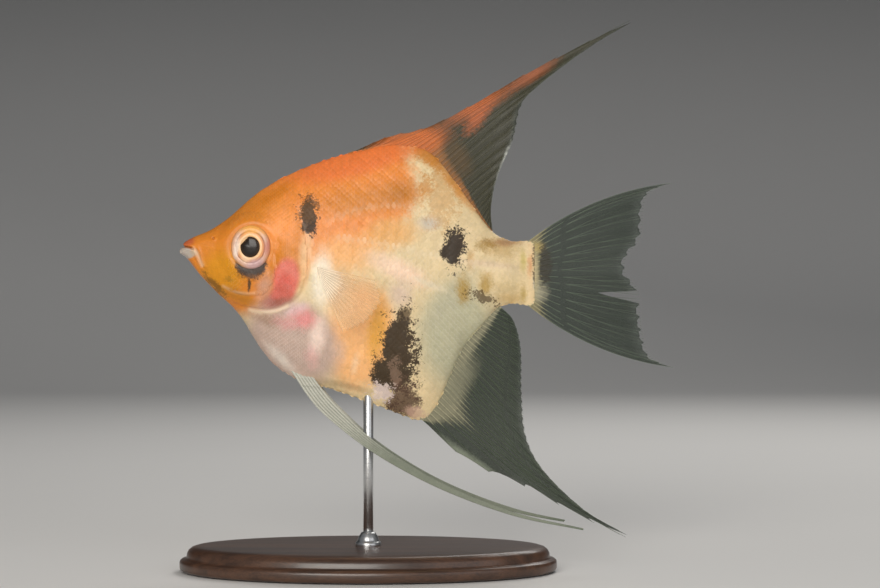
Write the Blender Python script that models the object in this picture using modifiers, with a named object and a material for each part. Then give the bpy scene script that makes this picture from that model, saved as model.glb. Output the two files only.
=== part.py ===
"""Freshwater angelfish (Pterophyllum scalare, koi form), a life-size still model on a display stand.

The row's frame is in metres, +Z up. The fish faces -X, so its left flank faces -Y. The origin lies on the
floor under the middle of the model. The fish is drawn in a frame of its own, which an empty carries: x runs
back from the tip of the lower lip, z up from it, and y to the fish's right. Sizes below are millimetres.
"""

import math

import bmesh
import bpy
import numpy as np
from mathutils import Matrix, Vector

MM = 0.001
GAP = 0.3  # clearance between pieces that meet

# Driving sizes of the fish
STANDARD_LENGTH = 70.3  # lower lip to the end of the tail stalk
TOTAL_LENGTH = 99.5  # lower lip to the tips of the tail fin's streamers
DEEPEST_TIP = -57.7  # the anal fin's streamer
FIN_EDGE = 0.55  # thickness at a fin's margin
FIN_ROOT = 1.0  # thickness at a fin's base

# Driving sizes of the stand
BASE_LENGTH, BASE_DEPTH, BASE_HEIGHT = 76.0, 44.0, 5.0
TIP_CLEARANCE = 1.5  # from the level of the base's top up to the anal streamer
ROD_RADIUS = 1.0
ROD_X = 38.0  # under the fish's centre of mass
ROD_IN_BELLY = 3.2
ROD_IN_BASE = 3.0
COLLAR_RADIUS, COLLAR_HEIGHT = 2.6, 2.4

SNOUT_X = -TOTAL_LENGTH / 2
SNOUT_Z = BASE_HEIGHT + TIP_CLEARANCE - DEEPEST_TIP

# The body's outline and breadth, each as (x, value)
BACK = [
    (0.1, 0.45), (0.4, 0.9), (0.65, 1.4), (0.9, 1.95), (1.4, 2.35), (2.4, 2.9), (6.1, 4.5), (9.3, 6.6),
    (15.4, 11.8), (26.5, 17.6), (36.0, 20.4), (45.0, 21.6), (50.9, 19.8), (56.1, 13.5), (59.8, 8.3),
    (62.9, 4.3), (66.0, 2.5), (70.3, 2.3),
]
BELLY = [
    (0.1, -0.5), (0.9, -1.0), (3.9, -4.6), (7.4, -8.3), (12.0, -12.8), (15.4, -18.3), (18.2, -22.0),
    (22.8, -25.4), (30.2, -27.6), (37.6, -30.2), (45.0, -33.0), (48.5, -34.0), (50.3, -33.2), (52.4, -30.0),
    (54.6, -25.0), (57.2, -19.4), (61.0, -14.9), (64.6, -11.2), (67.0, -10.5), (70.3, -11.0),
]
HALF_BREADTH = [
    (0.1, 0.8), (0.9, 1.5), (3.0, 2.2), (6.0, 3.1), (10.0, 4.2), (14.0, 5.1), (18.0, 5.7), (24.0, 6.3),
    (30.0, 6.3), (36.0, 5.9), (42.0, 5.3), (48.0, 4.5), (54.0, 3.6), (60.0, 2.9), (66.0, 2.2), (70.3, 1.4),
]
WIDEST_LEVEL = [(0.1, -0.05), (2.4, 0.6), (14.0, -0.2), (26.0, -3.0), (45.0, -3.5), (70.3, -4.3)]
EDGE_POWER = [(0.1, 1.0), (6.0, 1.15), (20.0, 1.35), (50.0, 1.45), (70.3, 1.15)]  # 1 rounds a section's edge

SIDES = ((-1, "left"), (1, "right"))
STATIONS = 40
STATION_SPREAD = 1.5  # over 1 draws the stations together at the lips
RING_POINTS = 24

# Where the body is parted
GILL_LINE = [
    (23.2, 26.0), (24.9, 12.0), (26.4, 2.8), (26.3, -4.6), (25.0, -8.7), (22.4, -11.3), (18.1, -12.3),
    (14.4, -12.1), (9.0, -13.6),
]
JAW_LINE = [(-2.0, 1.15), (0.6, 1.05), (2.9, 0.55), (4.6, -3.2), (6.8, -10.0)]
TAIL_CUT = 63.6
GILL_COVER = [
    (19.4, 2.6), (22.4, 5.6), (24.6, 3.6), (25.5, -1.6), (25.0, -6.6), (22.5, -9.9), (18.4, -11.0),
    (16.4, -9.4), (17.2, -5.6), (18.6, -1.6),
]
GILL_COVER_INNER = 3.3  # distance of a cover's flat inner face from the midplane
FAR = 40.0  # further than any of the body reaches sideways or past a cut

# Eyes: a flattened ball in a socket
EYE_X, EYE_Z, EYE_Y = 14.8, 0.76, 3.45
EYE_RADIUS, EYE_HALF_DEPTH = 4.05, 2.45

# Fins. Both edges of a dorsal or anal fin run from the ends of its root out to the streamer, where they keep
# a little apart. A sway is (x, z of the still point, distance out, sideways shift there).
DORSAL = {
    "root": (35.0, 62.9),
    "leading": [(42.0, 23.3), (50.5, 25.5), (61.6, 31.2), (72.7, 37.7), (91.6, 47.2)],
    "trailing": [
        (62.8, 9.4), (64.2, 15.6), (67.2, 22.6), (69.4, 30.4), (73.2, 35.6), (80.1, 40.5), (91.4, 46.6),
    ],
    "sway": (48.0, 20.0, 51.0, 1.6),
}
ANAL = {
    "root": (49.0, 64.6),
    "leading": [(56.1, -40.7), (63.5, -45.0), (70.9, -47.9), (80.0, -52.9), (90.5, -57.7)],
    "trailing": [
        (67.3, -13.9), (68.8, -19.6), (69.0, -28.7), (69.9, -37.4), (73.6, -44.4), (82.0, -52.3), (90.4, -57.1),
    ],
    "sway": (55.0, -22.0, 50.0, -1.6),
}
ROOT_REACH = 3  # the higher, the sooner a sheet forgets the bulge of its root
CAUDAL_TOP, CAUDAL_BOTTOM = 2.4, -11.2
CAUDAL_REAR = [
    (99.3, 13.9), (95.2, 12.3), (93.6, 9.3), (93.0, 3.0), (90.2, -0.8), (89.9, -4.2), (92.5, -8.0),
    (93.0, -13.9), (93.9, -18.6), (95.3, -21.5), (99.5, -23.3),
]
CAUDAL_BOW = 0.137  # how far the outer rays' curves lean outwards, as a share of their length
CAUDAL_SPLIT = [(85.1, -7.6), (94.0, -7.9), (94.0, -10.7)]  # a parted membrane between two rays
CAUDAL_SWAY = (70.3, -4.3, 34.0, 0.9)
PECTORAL_X, PECTORAL_Z = 29.2, -5.2
PECTORAL_ROOT_HALF = 1.8
PECTORAL_ANGLES = (-13.0, -65.0)  # of the top and bottom rays, in degrees above the horizontal
PECTORAL_RAYS = [(0.0, 10.8), (0.25, 13.2), (0.6, 12.2), (1.0, 9.8)]  # (share of the fan, length in x and z)
PECTORAL_Y, PECTORAL_FLARE = 6.9, 4.6
PELVIC_LOWER = [
    (23.5, -25.0), (26.5, -29.4), (30.2, -33.3), (39.4, -40.3), (52.4, -47.3), (67.2, -52.7), (81.0, -55.5),
]
PELVIC_UPPER = [
    (27.9, -25.7), (31.0, -29.0), (34.6, -33.0), (41.9, -39.9), (53.0, -46.4), (67.3, -52.1), (81.2, -55.0),
]
PELVIC_Y, PELVIC_FLARE = 1.8, 3.4
PELVIC_REACH = {"left": 1.0, "right": 0.95}  # the share of the feeler's run that each fin takes


# Colour, roughness, metallic value and opacity of each kind of piece
LOOKS = {
    "head": ((0.85, 0.33, 0.06), 0.35, 0.0, 1.0),
    "lower_jaw": ((0.75, 0.42, 0.25), 0.35, 0.0, 1.0),
    "gill_cover": ((0.75, 0.16, 0.11), 0.3, 0.0, 1.0),
    "trunk": ((0.83, 0.48, 0.2), 0.35, 0.0, 1.0),
    "tail_stalk": ((0.72, 0.6, 0.38), 0.35, 0.0, 1.0),
    "eye": ((0.75, 0.66, 0.58), 0.1, 0.0, 1.0),
    "dorsal_fin": ((0.55, 0.2, 0.1), 0.35, 0.0, 0.8),
    "anal_fin": ((0.35, 0.38, 0.34), 0.35, 0.0, 0.7),
    "caudal_fin": ((0.35, 0.38, 0.34), 0.35, 0.0, 0.7),
    "pectoral_fin": ((0.85, 0.62, 0.35), 0.3, 0.0, 0.5),
    "pelvic_fin": ((0.7, 0.7, 0.66), 0.3, 0.0, 0.9),
    "stand_base": ((0.06, 0.035, 0.02), 0.4, 0.0, 1.0),
    "stand_collar": ((0.6, 0.6, 0.6), 0.3, 1.0, 1.0),
    "stand_rod": ((0.6, 0.6, 0.6), 0.3, 1.0, 1.0),
}


def profile(points):
    """A smooth function of x through (x, value) points."""
    x, v = np.array(points, float).T
    slope = np.gradient(v, x)

    def at(q):
        i = np.clip(np.searchsorted(x, q) - 1, 0, len(x) - 2)
        h = x[i + 1] - x[i]
        t = np.clip((q - x[i]) / h, 0.0, 1.0)
        rise = (3 - 2 * t) * t * t
        return (
            v[i] * (1 - rise) + v[i + 1] * rise
            + h * slope[i] * t * (1 - t) ** 2 - h * slope[i + 1] * t * t * (1 - t)
        )

    return at


def curve(points, closed=False, fineness=24):
    """A function of the share of its length, 0 to 1, along a smooth line through (x, z) points."""
    p = np.array(points, float)
    p = np.vstack([p[-1], p, p[0], p[1]]) if closed else np.vstack([2 * p[0] - p[1], p, 2 * p[-1] - p[-2]])
    t = np.linspace(0, 1, fineness, endpoint=False)[:, None]
    line = []
    for a, b, c, d in zip(p, p[1:], p[2:], p[3:]):
        line.append(b + 0.5 * t * (c - a + t * (2 * a - 5 * b + 4 * c - d + t * (3 * (b - c) + d - a))))
    line = np.vstack([*line, p[-2][None]])
    run = np.concatenate([[0], np.cumsum(np.linalg.norm(np.diff(line, axis=0), axis=1))])
    run /= run[-1]
    return lambda s: np.stack([np.interp(s, run, line[:, 0]), np.interp(s, run, line[:, 1])], axis=-1)


back, belly = profile(BACK), profile(BELLY)
half_breadth, widest_level, edge_power = profile(HALF_BREADTH), profile(WIDEST_LEVEL), profile(EDGE_POWER)
ROD_TOP = SNOUT_Z + belly(ROD_X) + ROD_IN_BELLY


def mm(*point):
    """A point given in millimetres, in Blender's metres."""
    return Vector(point) * MM


def collection(name):
    made = bpy.data.collections.new(name)
    bpy.context.scene.collection.children.link(made)
    return made


def finish(name, shapes, into, carrier=None, smooth=True):
    """The mesh of a bmesh as an object, its faces turned outwards, in a collection and on its carrier."""
    bmesh.ops.recalc_face_normals(shapes, faces=shapes.faces)
    mesh = bpy.data.meshes.new(name)
    shapes.to_mesh(mesh)
    shapes.free()
    if smooth:
        mesh.shade_smooth()
        mesh.set_sharp_from_angle(angle=math.radians(40))
    made = bpy.data.objects.new(name, mesh)
    made.parent = carrier
    into.objects.link(made)
    return made


def cutter(obj):
    obj.hide_render = True
    obj.display_type = "WIRE"
    return obj


def boolean(obj, other, operation):
    made = obj.modifiers.new(f"{operation.lower()} {other.name}", "BOOLEAN")
    made.object = other
    made.operation = operation


def dress(obj):
    """Gives a piece its own material, from the look that its kind has."""
    kind = obj.name.removesuffix("_left").removesuffix("_right")
    colour, roughness, metallic, alpha = LOOKS[kind]
    made = bpy.data.materials.new(obj.name)
    made.use_nodes = True
    shader = made.node_tree.nodes["Principled BSDF"]
    shader.inputs["Base Color"].default_value = (*colour, 1.0)
    shader.inputs["Roughness"].default_value = roughness
    shader.inputs["Metallic"].default_value = metallic
    shader.inputs["Alpha"].default_value = alpha
    obj.data.materials.append(made)


def body_mesh():
    """The whole body, as rings from the lips to the end of the tail stalk."""
    shapes = bmesh.new()
    rings = []
    for share in np.linspace(0, 1, STATIONS):
        x = 0.1 + (STANDARD_LENGTH - 0.1) * share**STATION_SPREAD
        ring = []
        for angle in np.arange(RING_POINTS) * math.tau / RING_POINTS:
            across, up = math.cos(angle), math.sin(angle)
            reach = back(x) - widest_level(x) if up > 0 else widest_level(x) - belly(x)
            y = half_breadth(x) * math.copysign(abs(across) ** edge_power(x), across)
            ring.append(shapes.verts.new(mm(x, y, widest_level(x) + reach * up)))
        rings.append(ring)
    for one, two in zip(rings, rings[1:]):
        for i in range(RING_POINTS):
            j = (i + 1) % RING_POINTS
            shapes.faces.new((one[i], one[j], two[j], two[i]))
    shapes.faces.new(rings[0])
    shapes.faces.new(rings[-1])
    return shapes


def shifted(points, by):
    """A line of (x, z) points moved sideways, to the left of its run."""
    p = np.array(points, float)
    run = np.gradient(p, axis=0)
    run /= np.linalg.norm(run, axis=1)[:, None]
    return [tuple(q) for q in p + by * np.stack([-run[:, 1], run[:, 0]], axis=1)]


def grown(points, by):
    """A closed line sampled from a smooth loop through points, grown outwards by a distance."""
    line = curve(points, closed=True)
    share = np.arange(30) / 30
    p, step = line(share), line((share + 1e-3) % 1) - line((share - 1e-3) % 1)
    step /= np.linalg.norm(step, axis=1)[:, None]
    return [tuple(q) for q in p + by * np.stack([-step[:, 1], step[:, 0]], axis=1)]


def prism(name, outline, near, far, cutters, fish):
    """A cutter: an (x, z) outline carried from one y to another."""
    shapes = bmesh.new()
    face = shapes.faces.new([shapes.verts.new(mm(x, near, z)) for x, z in outline])
    carried = bmesh.ops.extrude_face_region(shapes, geom=[face])["geom"]
    moved = [v for v in carried if isinstance(v, bmesh.types.BMVert)]
    bmesh.ops.translate(shapes, verts=moved, vec=mm(0, far - near, 0))
    return cutter(finish(name, shapes, cutters, fish, smooth=False))


def ball(name, radius, half_depth, side, into, fish):
    """A ball flattened sideways, at an eye's place."""
    shapes = bmesh.new()
    bmesh.ops.create_uvsphere(shapes, u_segments=18, v_segments=10, radius=MM)
    squash = Matrix.Diagonal((radius, half_depth, radius, 1.0))
    bmesh.ops.transform(shapes, matrix=squash, verts=shapes.verts)
    made = finish(name, shapes, into, fish)
    made.location = mm(EYE_X, side * EYE_Y, EYE_Z)
    return made


def cylinder(name, radius, low, high, into):
    """An upright cylinder between two heights, on the rod's axis."""
    shapes = bmesh.new()
    size = radius * MM
    bmesh.ops.create_cone(
        shapes, cap_ends=True, segments=24, radius1=size, radius2=size, depth=(high - low) * MM
    )
    made = finish(name, shapes, into)
    made.location = mm(SNOUT_X + ROD_X, 0, (low + high) / 2)
    return made


def body_parts(parts, cutters, fish):
    """The body parted by thin cuts into head, lower jaw, gill covers, trunk and tail stalk, and the eyes."""
    whole = cutter(finish("body", body_mesh(), cutters, fish))

    def piece(name):
        made = bpy.data.objects.new(name, whole.data.copy())
        made.parent = fish
        parts.objects.link(made)
        return made

    def region(name, outline):
        return prism(name, outline, -FAR, FAR, cutters, fish)

    ahead, behind = shifted(GILL_LINE, -GAP / 2), shifted(GILL_LINE, GAP / 2)
    head_region = region("head_region", [(-3, 26), *ahead, (-3, -16)])
    trunk_region = region("trunk_region", [*behind, (9, -FAR), (TAIL_CUT, -FAR), (TAIL_CUT, 26)])
    tail_start, tail_end = TAIL_CUT + GAP, STANDARD_LENGTH + 1
    tail_outline = [(tail_start, 26), (tail_end, 26), (tail_end, -FAR), (tail_start, -FAR)]
    tail_region = region("tail_region", tail_outline)
    jaw_region = region("jaw_region", [*JAW_LINE, (-2.0, -10.0)])
    jaw_room = region("jaw_room", [*shifted(JAW_LINE, GAP), (-2.5, -11.0)])

    head = piece("head")
    boolean(head, head_region, "INTERSECT")
    boolean(head, jaw_room, "DIFFERENCE")
    boolean(piece("lower_jaw"), jaw_region, "INTERSECT")
    for side, name in SIDES:
        inner = side * GILL_COVER_INNER
        room = grown(GILL_COVER, GAP / 2)
        pocket = prism(f"gill_pocket_{name}", room, inner - side * GAP, side * FAR, cutters, fish)
        boolean(head, pocket, "DIFFERENCE")
        plate = prism(f"gill_plate_{name}", grown(GILL_COVER, -GAP / 2), inner, side * FAR, cutters, fish)
        boolean(piece(f"gill_cover_{name}"), plate, "INTERSECT")
        socket = ball(f"socket_{name}", EYE_RADIUS + GAP, EYE_HALF_DEPTH + GAP, side, cutters, fish)
        boolean(head, cutter(socket), "DIFFERENCE")
        ball(f"eye_{name}", EYE_RADIUS, EYE_HALF_DEPTH, side, parts, fish)

    trunk = piece("trunk")
    boolean(trunk, trunk_region, "INTERSECT")
    bore_top = ROD_TOP + GAP
    bore = cylinder("rod_bore", ROD_RADIUS + GAP, bore_top - 12, bore_top, cutters)
    boolean(trunk, cutter(bore), "DIFFERENCE")
    boolean(piece("tail_stalk"), tail_region, "INTERSECT")


def fin(name, rays, parts, fish):
    """A fin from its rays, each a row of (x, y, z) points from root to margin, thinner towards the margin."""
    shapes = bmesh.new()
    grid = [[shapes.verts.new(mm(*point)) for point in ray] for ray in rays]
    for one, two in zip(grid, grid[1:]):
        for i in range(len(one) - 1):
            shapes.faces.new((one[i], one[i + 1], two[i + 1], two[i]))
    made = finish(name, shapes, parts, fish)
    thick = made.vertex_groups.new(name="thick")
    steps = len(rays[0])
    for i in range(len(made.data.vertices)):
        thick.add([i], 1 - (i % steps) / (steps - 1), "REPLACE")
    wall = made.modifiers.new("thickness", "SOLIDIFY")
    wall.thickness = FIN_ROOT * MM
    wall.offset = 0.0
    wall.vertex_group = "thick"
    wall.thickness_vertex_group = FIN_EDGE / FIN_ROOT
    return made


def swayed(points, sway):
    """Flat (x, z) points as (x, y, z) points on a fin's swayed sheet."""
    still_x, still_z, reach, shift = sway
    return [(x, shift * (math.hypot(x - still_x, z - still_z) / reach) ** 2, z) for x, z in points]


def median_fin(name, outline, shape, parts, fish):
    """A dorsal or anal fin: a sheet between its root on the body and the two edges that meet in a streamer."""
    side = 1 if outline is back else -1
    ridge = curve([(x, outline(x)) for x in np.linspace(*shape["root"], 17)])

    def foot(share):
        step = ridge(min(1, share + 0.01)) - ridge(max(0, share - 0.01))
        return ridge(share) + GAP * side * np.array([-step[1], step[0]]) / np.linalg.norm(step)

    front = curve([foot(0), *shape["leading"]])
    rear = curve([foot(1), *shape["trailing"]])
    rays = []
    for share in np.linspace(0, 1, 13):
        bulge = foot(share) - (1 - share) * foot(0) - share * foot(1)
        ray = []
        for t in np.linspace(0, 1, 15):
            ray.append((1 - share) * front(t) + share * rear(t) + bulge * (1 - t) ** ROOT_REACH)
        rays.append(swayed(ray, shape["sway"]))
    return fin(name, rays, parts, fish)


def caudal_fin(parts, cutters, fish):
    """The tail fin, whose outer rays bow outwards on their way to the streamers."""
    rear = curve(CAUDAL_REAR)
    rays = []
    t = np.linspace(0, 1, 9)[:, None]
    for share in np.linspace(0, 1, 25):
        root = np.array([STANDARD_LENGTH + GAP, CAUDAL_TOP + share * (CAUDAL_BOTTOM - CAUDAL_TOP)])
        along = rear(share) - root
        middle = root + along / 2 + CAUDAL_BOW * (1 - 2 * share) * np.array([-along[1], along[0]])
        ray = root * (1 - t) ** 2 + middle * 2 * t * (1 - t) + rear(share) * t * t
        rays.append(swayed(ray, CAUDAL_SWAY))
    made = fin("caudal_fin", rays, parts, fish)
    boolean(made, prism("caudal_split", CAUDAL_SPLIT, -5, 5, cutters, fish), "DIFFERENCE")


def pectoral_fin(name, side, parts, fish):
    """A fan that lies back along the flank, its tip standing off it."""
    ray_length = profile(PECTORAL_RAYS)
    top, bottom = np.radians(PECTORAL_ANGLES)
    rays = []
    for share in np.linspace(0, 1, 11):
        angle = top + share * (bottom - top)
        foot_z = PECTORAL_Z + PECTORAL_ROOT_HALF * (1 - 2 * share)
        ray = []
        for t in np.linspace(0, 1, 7):
            run = t * ray_length(share)
            y = side * (PECTORAL_Y + PECTORAL_FLARE * t**1.3)
            ray.append((PECTORAL_X + run * math.cos(angle), y, foot_z + run * math.sin(angle)))
        rays.append(ray)
    return fin(name, rays, parts, fish)


def pelvic_fin(name, side, reach, parts, fish):
    """A narrow blade that draws out into a feeler."""
    lower, upper = curve(PELVIC_LOWER), curve(PELVIC_UPPER)
    rays = []
    for share in np.linspace(0, 1, 4):
        ray = []
        for t in reach * np.linspace(0, 1, 25) ** 1.15:
            x, z = lower(t) + share * (upper(t) - lower(t))
            ray.append((x, side * (PELVIC_Y + PELVIC_FLARE * t), z))
        rays.append(ray)
    return fin(name, rays, parts, fish)


def stand(parts, cutters):
    """An oval base, a collar on it, and a rod up into the belly."""
    shapes = bmesh.new()
    bmesh.ops.create_cone(shapes, cap_ends=True, segments=48, radius1=MM, radius2=MM, depth=BASE_HEIGHT * MM)
    oval = Matrix.Diagonal((BASE_LENGTH / 2, BASE_DEPTH / 2, 1.0, 1.0))
    bmesh.ops.transform(shapes, matrix=oval, verts=shapes.verts)
    base = finish("stand_base", shapes, parts)
    base.location = mm(SNOUT_X + ROD_X, 0, BASE_HEIGHT / 2)
    rounding = base.modifiers.new("rounded rim", "BEVEL")
    rounding.width = 0.8 * MM
    rounding.segments = 2
    rod_low = BASE_HEIGHT - ROD_IN_BASE
    well = cylinder("rod_well", ROD_RADIUS + GAP, rod_low - GAP, BASE_HEIGHT + 5, cutters)
    boolean(base, cutter(well), "DIFFERENCE")

    cylinder("stand_rod", ROD_RADIUS, rod_low, ROD_TOP, parts)
    collar_low = BASE_HEIGHT + GAP
    collar = cylinder("stand_collar", COLLAR_RADIUS, collar_low, collar_low + COLLAR_HEIGHT, parts)
    bore = cylinder("collar_bore", ROD_RADIUS + GAP, BASE_HEIGHT - 5, BASE_HEIGHT + 15, cutters)
    boolean(collar, cutter(bore), "DIFFERENCE")


def main():
    for obj in list(bpy.data.objects):
        bpy.data.objects.remove(obj)
    parts, cutters = collection("angelfish"), collection("cutters")
    fish = bpy.data.objects.new("fish_frame", None)
    fish.location = mm(SNOUT_X, 0, SNOUT_Z)
    parts.objects.link(fish)

    body_parts(parts, cutters, fish)
    median_fin("dorsal_fin", back, DORSAL, parts, fish)
    median_fin("anal_fin", belly, ANAL, parts, fish)
    caudal_fin(parts, cutters, fish)
    for side, name in SIDES:
        pectoral_fin(f"pectoral_fin_{name}", side, parts, fish)
        pelvic_fin(f"pelvic_fin_{name}", side, PELVIC_REACH[name], parts, fish)
    stand(parts, cutters)
    for obj in parts.objects:
        if obj.type == "MESH":
            dress(obj)


main()
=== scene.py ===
"""Freshwater angelfish of the koi form: a still, life-size display model on a plain stand.

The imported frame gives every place. The fish is drawn in a frame of its own, in millimetres: x runs back from
the tip of the lower lip, z up from it, and y to the fish's right. In the row's frame the fish faces -X, so its
left flank faces -Y. One skin covers the flesh, solid scales lie over it, and the fins are thin membranes
between branching rays.
"""

import logging
import math
from dataclasses import dataclass, field, replace
from enum import Enum
from functools import cache
from typing import Callable, Sequence

import bpy
import numpy as np
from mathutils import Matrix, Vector


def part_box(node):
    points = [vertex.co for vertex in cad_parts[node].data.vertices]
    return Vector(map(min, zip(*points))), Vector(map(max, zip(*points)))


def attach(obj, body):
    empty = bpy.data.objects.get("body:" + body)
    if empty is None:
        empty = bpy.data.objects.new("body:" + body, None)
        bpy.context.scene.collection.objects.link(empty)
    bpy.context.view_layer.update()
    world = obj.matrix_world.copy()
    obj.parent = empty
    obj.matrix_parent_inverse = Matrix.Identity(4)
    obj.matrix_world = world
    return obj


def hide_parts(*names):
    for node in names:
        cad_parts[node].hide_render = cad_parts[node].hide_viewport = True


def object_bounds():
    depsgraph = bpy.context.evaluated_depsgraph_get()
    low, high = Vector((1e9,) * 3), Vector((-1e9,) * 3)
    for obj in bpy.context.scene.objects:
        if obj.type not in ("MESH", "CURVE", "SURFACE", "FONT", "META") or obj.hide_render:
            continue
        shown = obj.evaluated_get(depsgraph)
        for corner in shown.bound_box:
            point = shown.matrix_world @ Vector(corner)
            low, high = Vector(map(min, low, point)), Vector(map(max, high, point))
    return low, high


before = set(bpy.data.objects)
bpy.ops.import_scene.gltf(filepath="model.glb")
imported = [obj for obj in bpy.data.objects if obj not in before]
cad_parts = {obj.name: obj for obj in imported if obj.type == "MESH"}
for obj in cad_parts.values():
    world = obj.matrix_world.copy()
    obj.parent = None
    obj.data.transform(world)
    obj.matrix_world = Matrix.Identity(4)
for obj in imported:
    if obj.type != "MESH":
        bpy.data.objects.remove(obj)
CAD_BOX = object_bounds()

LOG = logging.getLogger("angelfish")
MM = 0.001
BODY = "root"
SEED = 7
ATLAS = "OFBake"
PATCH = 0.003  # the width of one scale's patch on the atlas
CURVE_STEPS = 24  # straight steps in each span of a line
TRACE_STEPS = 260  # points of a line that distances are measured to

Array = np.ndarray
Object = bpy.types.Object
Socket = bpy.types.NodeSocket
Tree = bpy.types.NodeTree
Colour = tuple[float, float, float]
Pair = tuple[float, float]
Points = Sequence[Pair]
Line = Callable[[Array], Array]
Inputs = dict[str, object]


class Side(Enum):
    """The fish's two sides, by the sign of y."""

    LEFT = -1
    RIGHT = 1

    @property
    def word(self) -> str:
        """The side's name, as piece names end."""
        return self.name.lower()


# ---- Lines and small functions ----


def profile(points: Points) -> Line:
    """Makes a smooth function of x.

    Args:
        points: (x, value) pairs, x rising.

    Returns:
        A function that gives the value at each x, level beyond both ends.
    """
    x, v = np.array(points, float).T
    slope = np.gradient(v, x)

    def at(q: Array) -> Array:
        """Reads the function.

        Args:
            q: places along the fish.

        Returns:
            The values there.
        """
        i = np.clip(np.searchsorted(x, q) - 1, 0, len(x) - 2)
        h = x[i + 1] - x[i]
        t = np.clip((q - x[i]) / h, 0, 1)
        rise = (3 - 2 * t) * t * t
        ends = v[i] * (1 - rise) + v[i + 1] * rise
        return ends + h * slope[i] * t * (1 - t) ** 2 - h * slope[i + 1] * t * t * (1 - t)

    return at


def curve(points: Points) -> Line:
    """Makes a smooth line through points.

    Args:
        points: (x, z) pairs.

    Returns:
        A function from shares of the line's length, 0 to 1, to (x, z) points.
    """
    p = np.array(points, float)
    p = np.vstack([2 * p[0] - p[1], p, 2 * p[-1] - p[-2]])
    t = np.linspace(0, 1, CURVE_STEPS, endpoint=False)[:, None]
    spans = [b + 0.5 * t * (c - a + t * (2 * a - 5 * b + 4 * c - d + t * (3 * (b - c) + d - a)))
             for a, b, c, d in zip(p, p[1:], p[2:], p[3:])]
    steps = np.vstack([*spans, p[-2][None]])
    run = np.concatenate([[0], np.cumsum(np.linalg.norm(np.diff(steps, axis=0), axis=1))])
    run /= run[-1]
    return lambda s: np.stack([np.interp(s, run, steps[:, 0]), np.interp(s, run, steps[:, 1])], axis=-1)


def smooth(value: Array, low: float, high: float) -> Array:
    """An even S-shaped rise from 0 at low to 1 at high."""
    t = np.clip((value - low) / (high - low), 0, 1)
    return t * t * (3 - 2 * t)


def hump(value: Array, width: float) -> Array:
    """A bell of height 1 at value 0."""
    return np.exp(-((value / width) ** 2))


def measured(points: Points, x: Array, z: Array, reach: float = 1000.0) -> tuple[Array, Array]:
    """Finds the nearest part of a smooth line on the flank.

    Args:
        points: (x, z) pairs that the line goes through.
        x: places along the fish.
        z: their heights.
        reach: a place further than this from the line's box is taken to be this far away.

    Returns:
        The distances, positive to the left of the line's run, and the shares of its length.
    """
    steps = np.linspace(0, 1, TRACE_STEPS)
    line = curve(points)(steps)
    run = np.gradient(line, axis=0)
    left = np.stack([-run[:, 1], run[:, 0]], axis=1) / np.linalg.norm(run, axis=1)[:, None]
    flat = np.stack([np.ravel(x), np.ravel(z)], axis=1)
    inside = np.flatnonzero(((flat > line.min(axis=0) - reach) & (flat < line.max(axis=0) + reach)).all(axis=1))
    gaps, shares = np.full(len(flat), float(reach)), np.zeros(len(flat))
    for some in np.array_split(inside, max(1, len(inside) // 4000)):
        off = flat[some, None] - line[None]
        far = (off**2).sum(axis=2)
        near = far.argmin(axis=1)
        rows = np.arange(len(some))
        ahead = (off[rows, near] * left[near]).sum(axis=1) >= 0
        gaps[some], shares[some] = np.sqrt(far[rows, near]) * np.where(ahead, 1, -1), steps[near]
    return gaps.reshape(np.shape(x)), shares.reshape(np.shape(x))


# ---- The fish's frame and the form of its body ----


@dataclass(frozen=True)
class FishFrame:
    """The fish's own frame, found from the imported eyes."""

    eye: tuple[float, float, float] = (14.8, 3.45, 0.76)  # the right eye's centre, in millimetres

    @property
    def origin(self) -> Array:
        """The lower lip's tip in the row's frame, in metres."""
        low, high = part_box("eye_right")
        return np.array((low + high) / 2) - MM * np.array(self.eye)

    def world(self, points: Array) -> Array:
        """Points of the fish's frame in the row's frame, in metres."""
        return self.origin + MM * np.asarray(points)


FISH = FishFrame()


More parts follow.
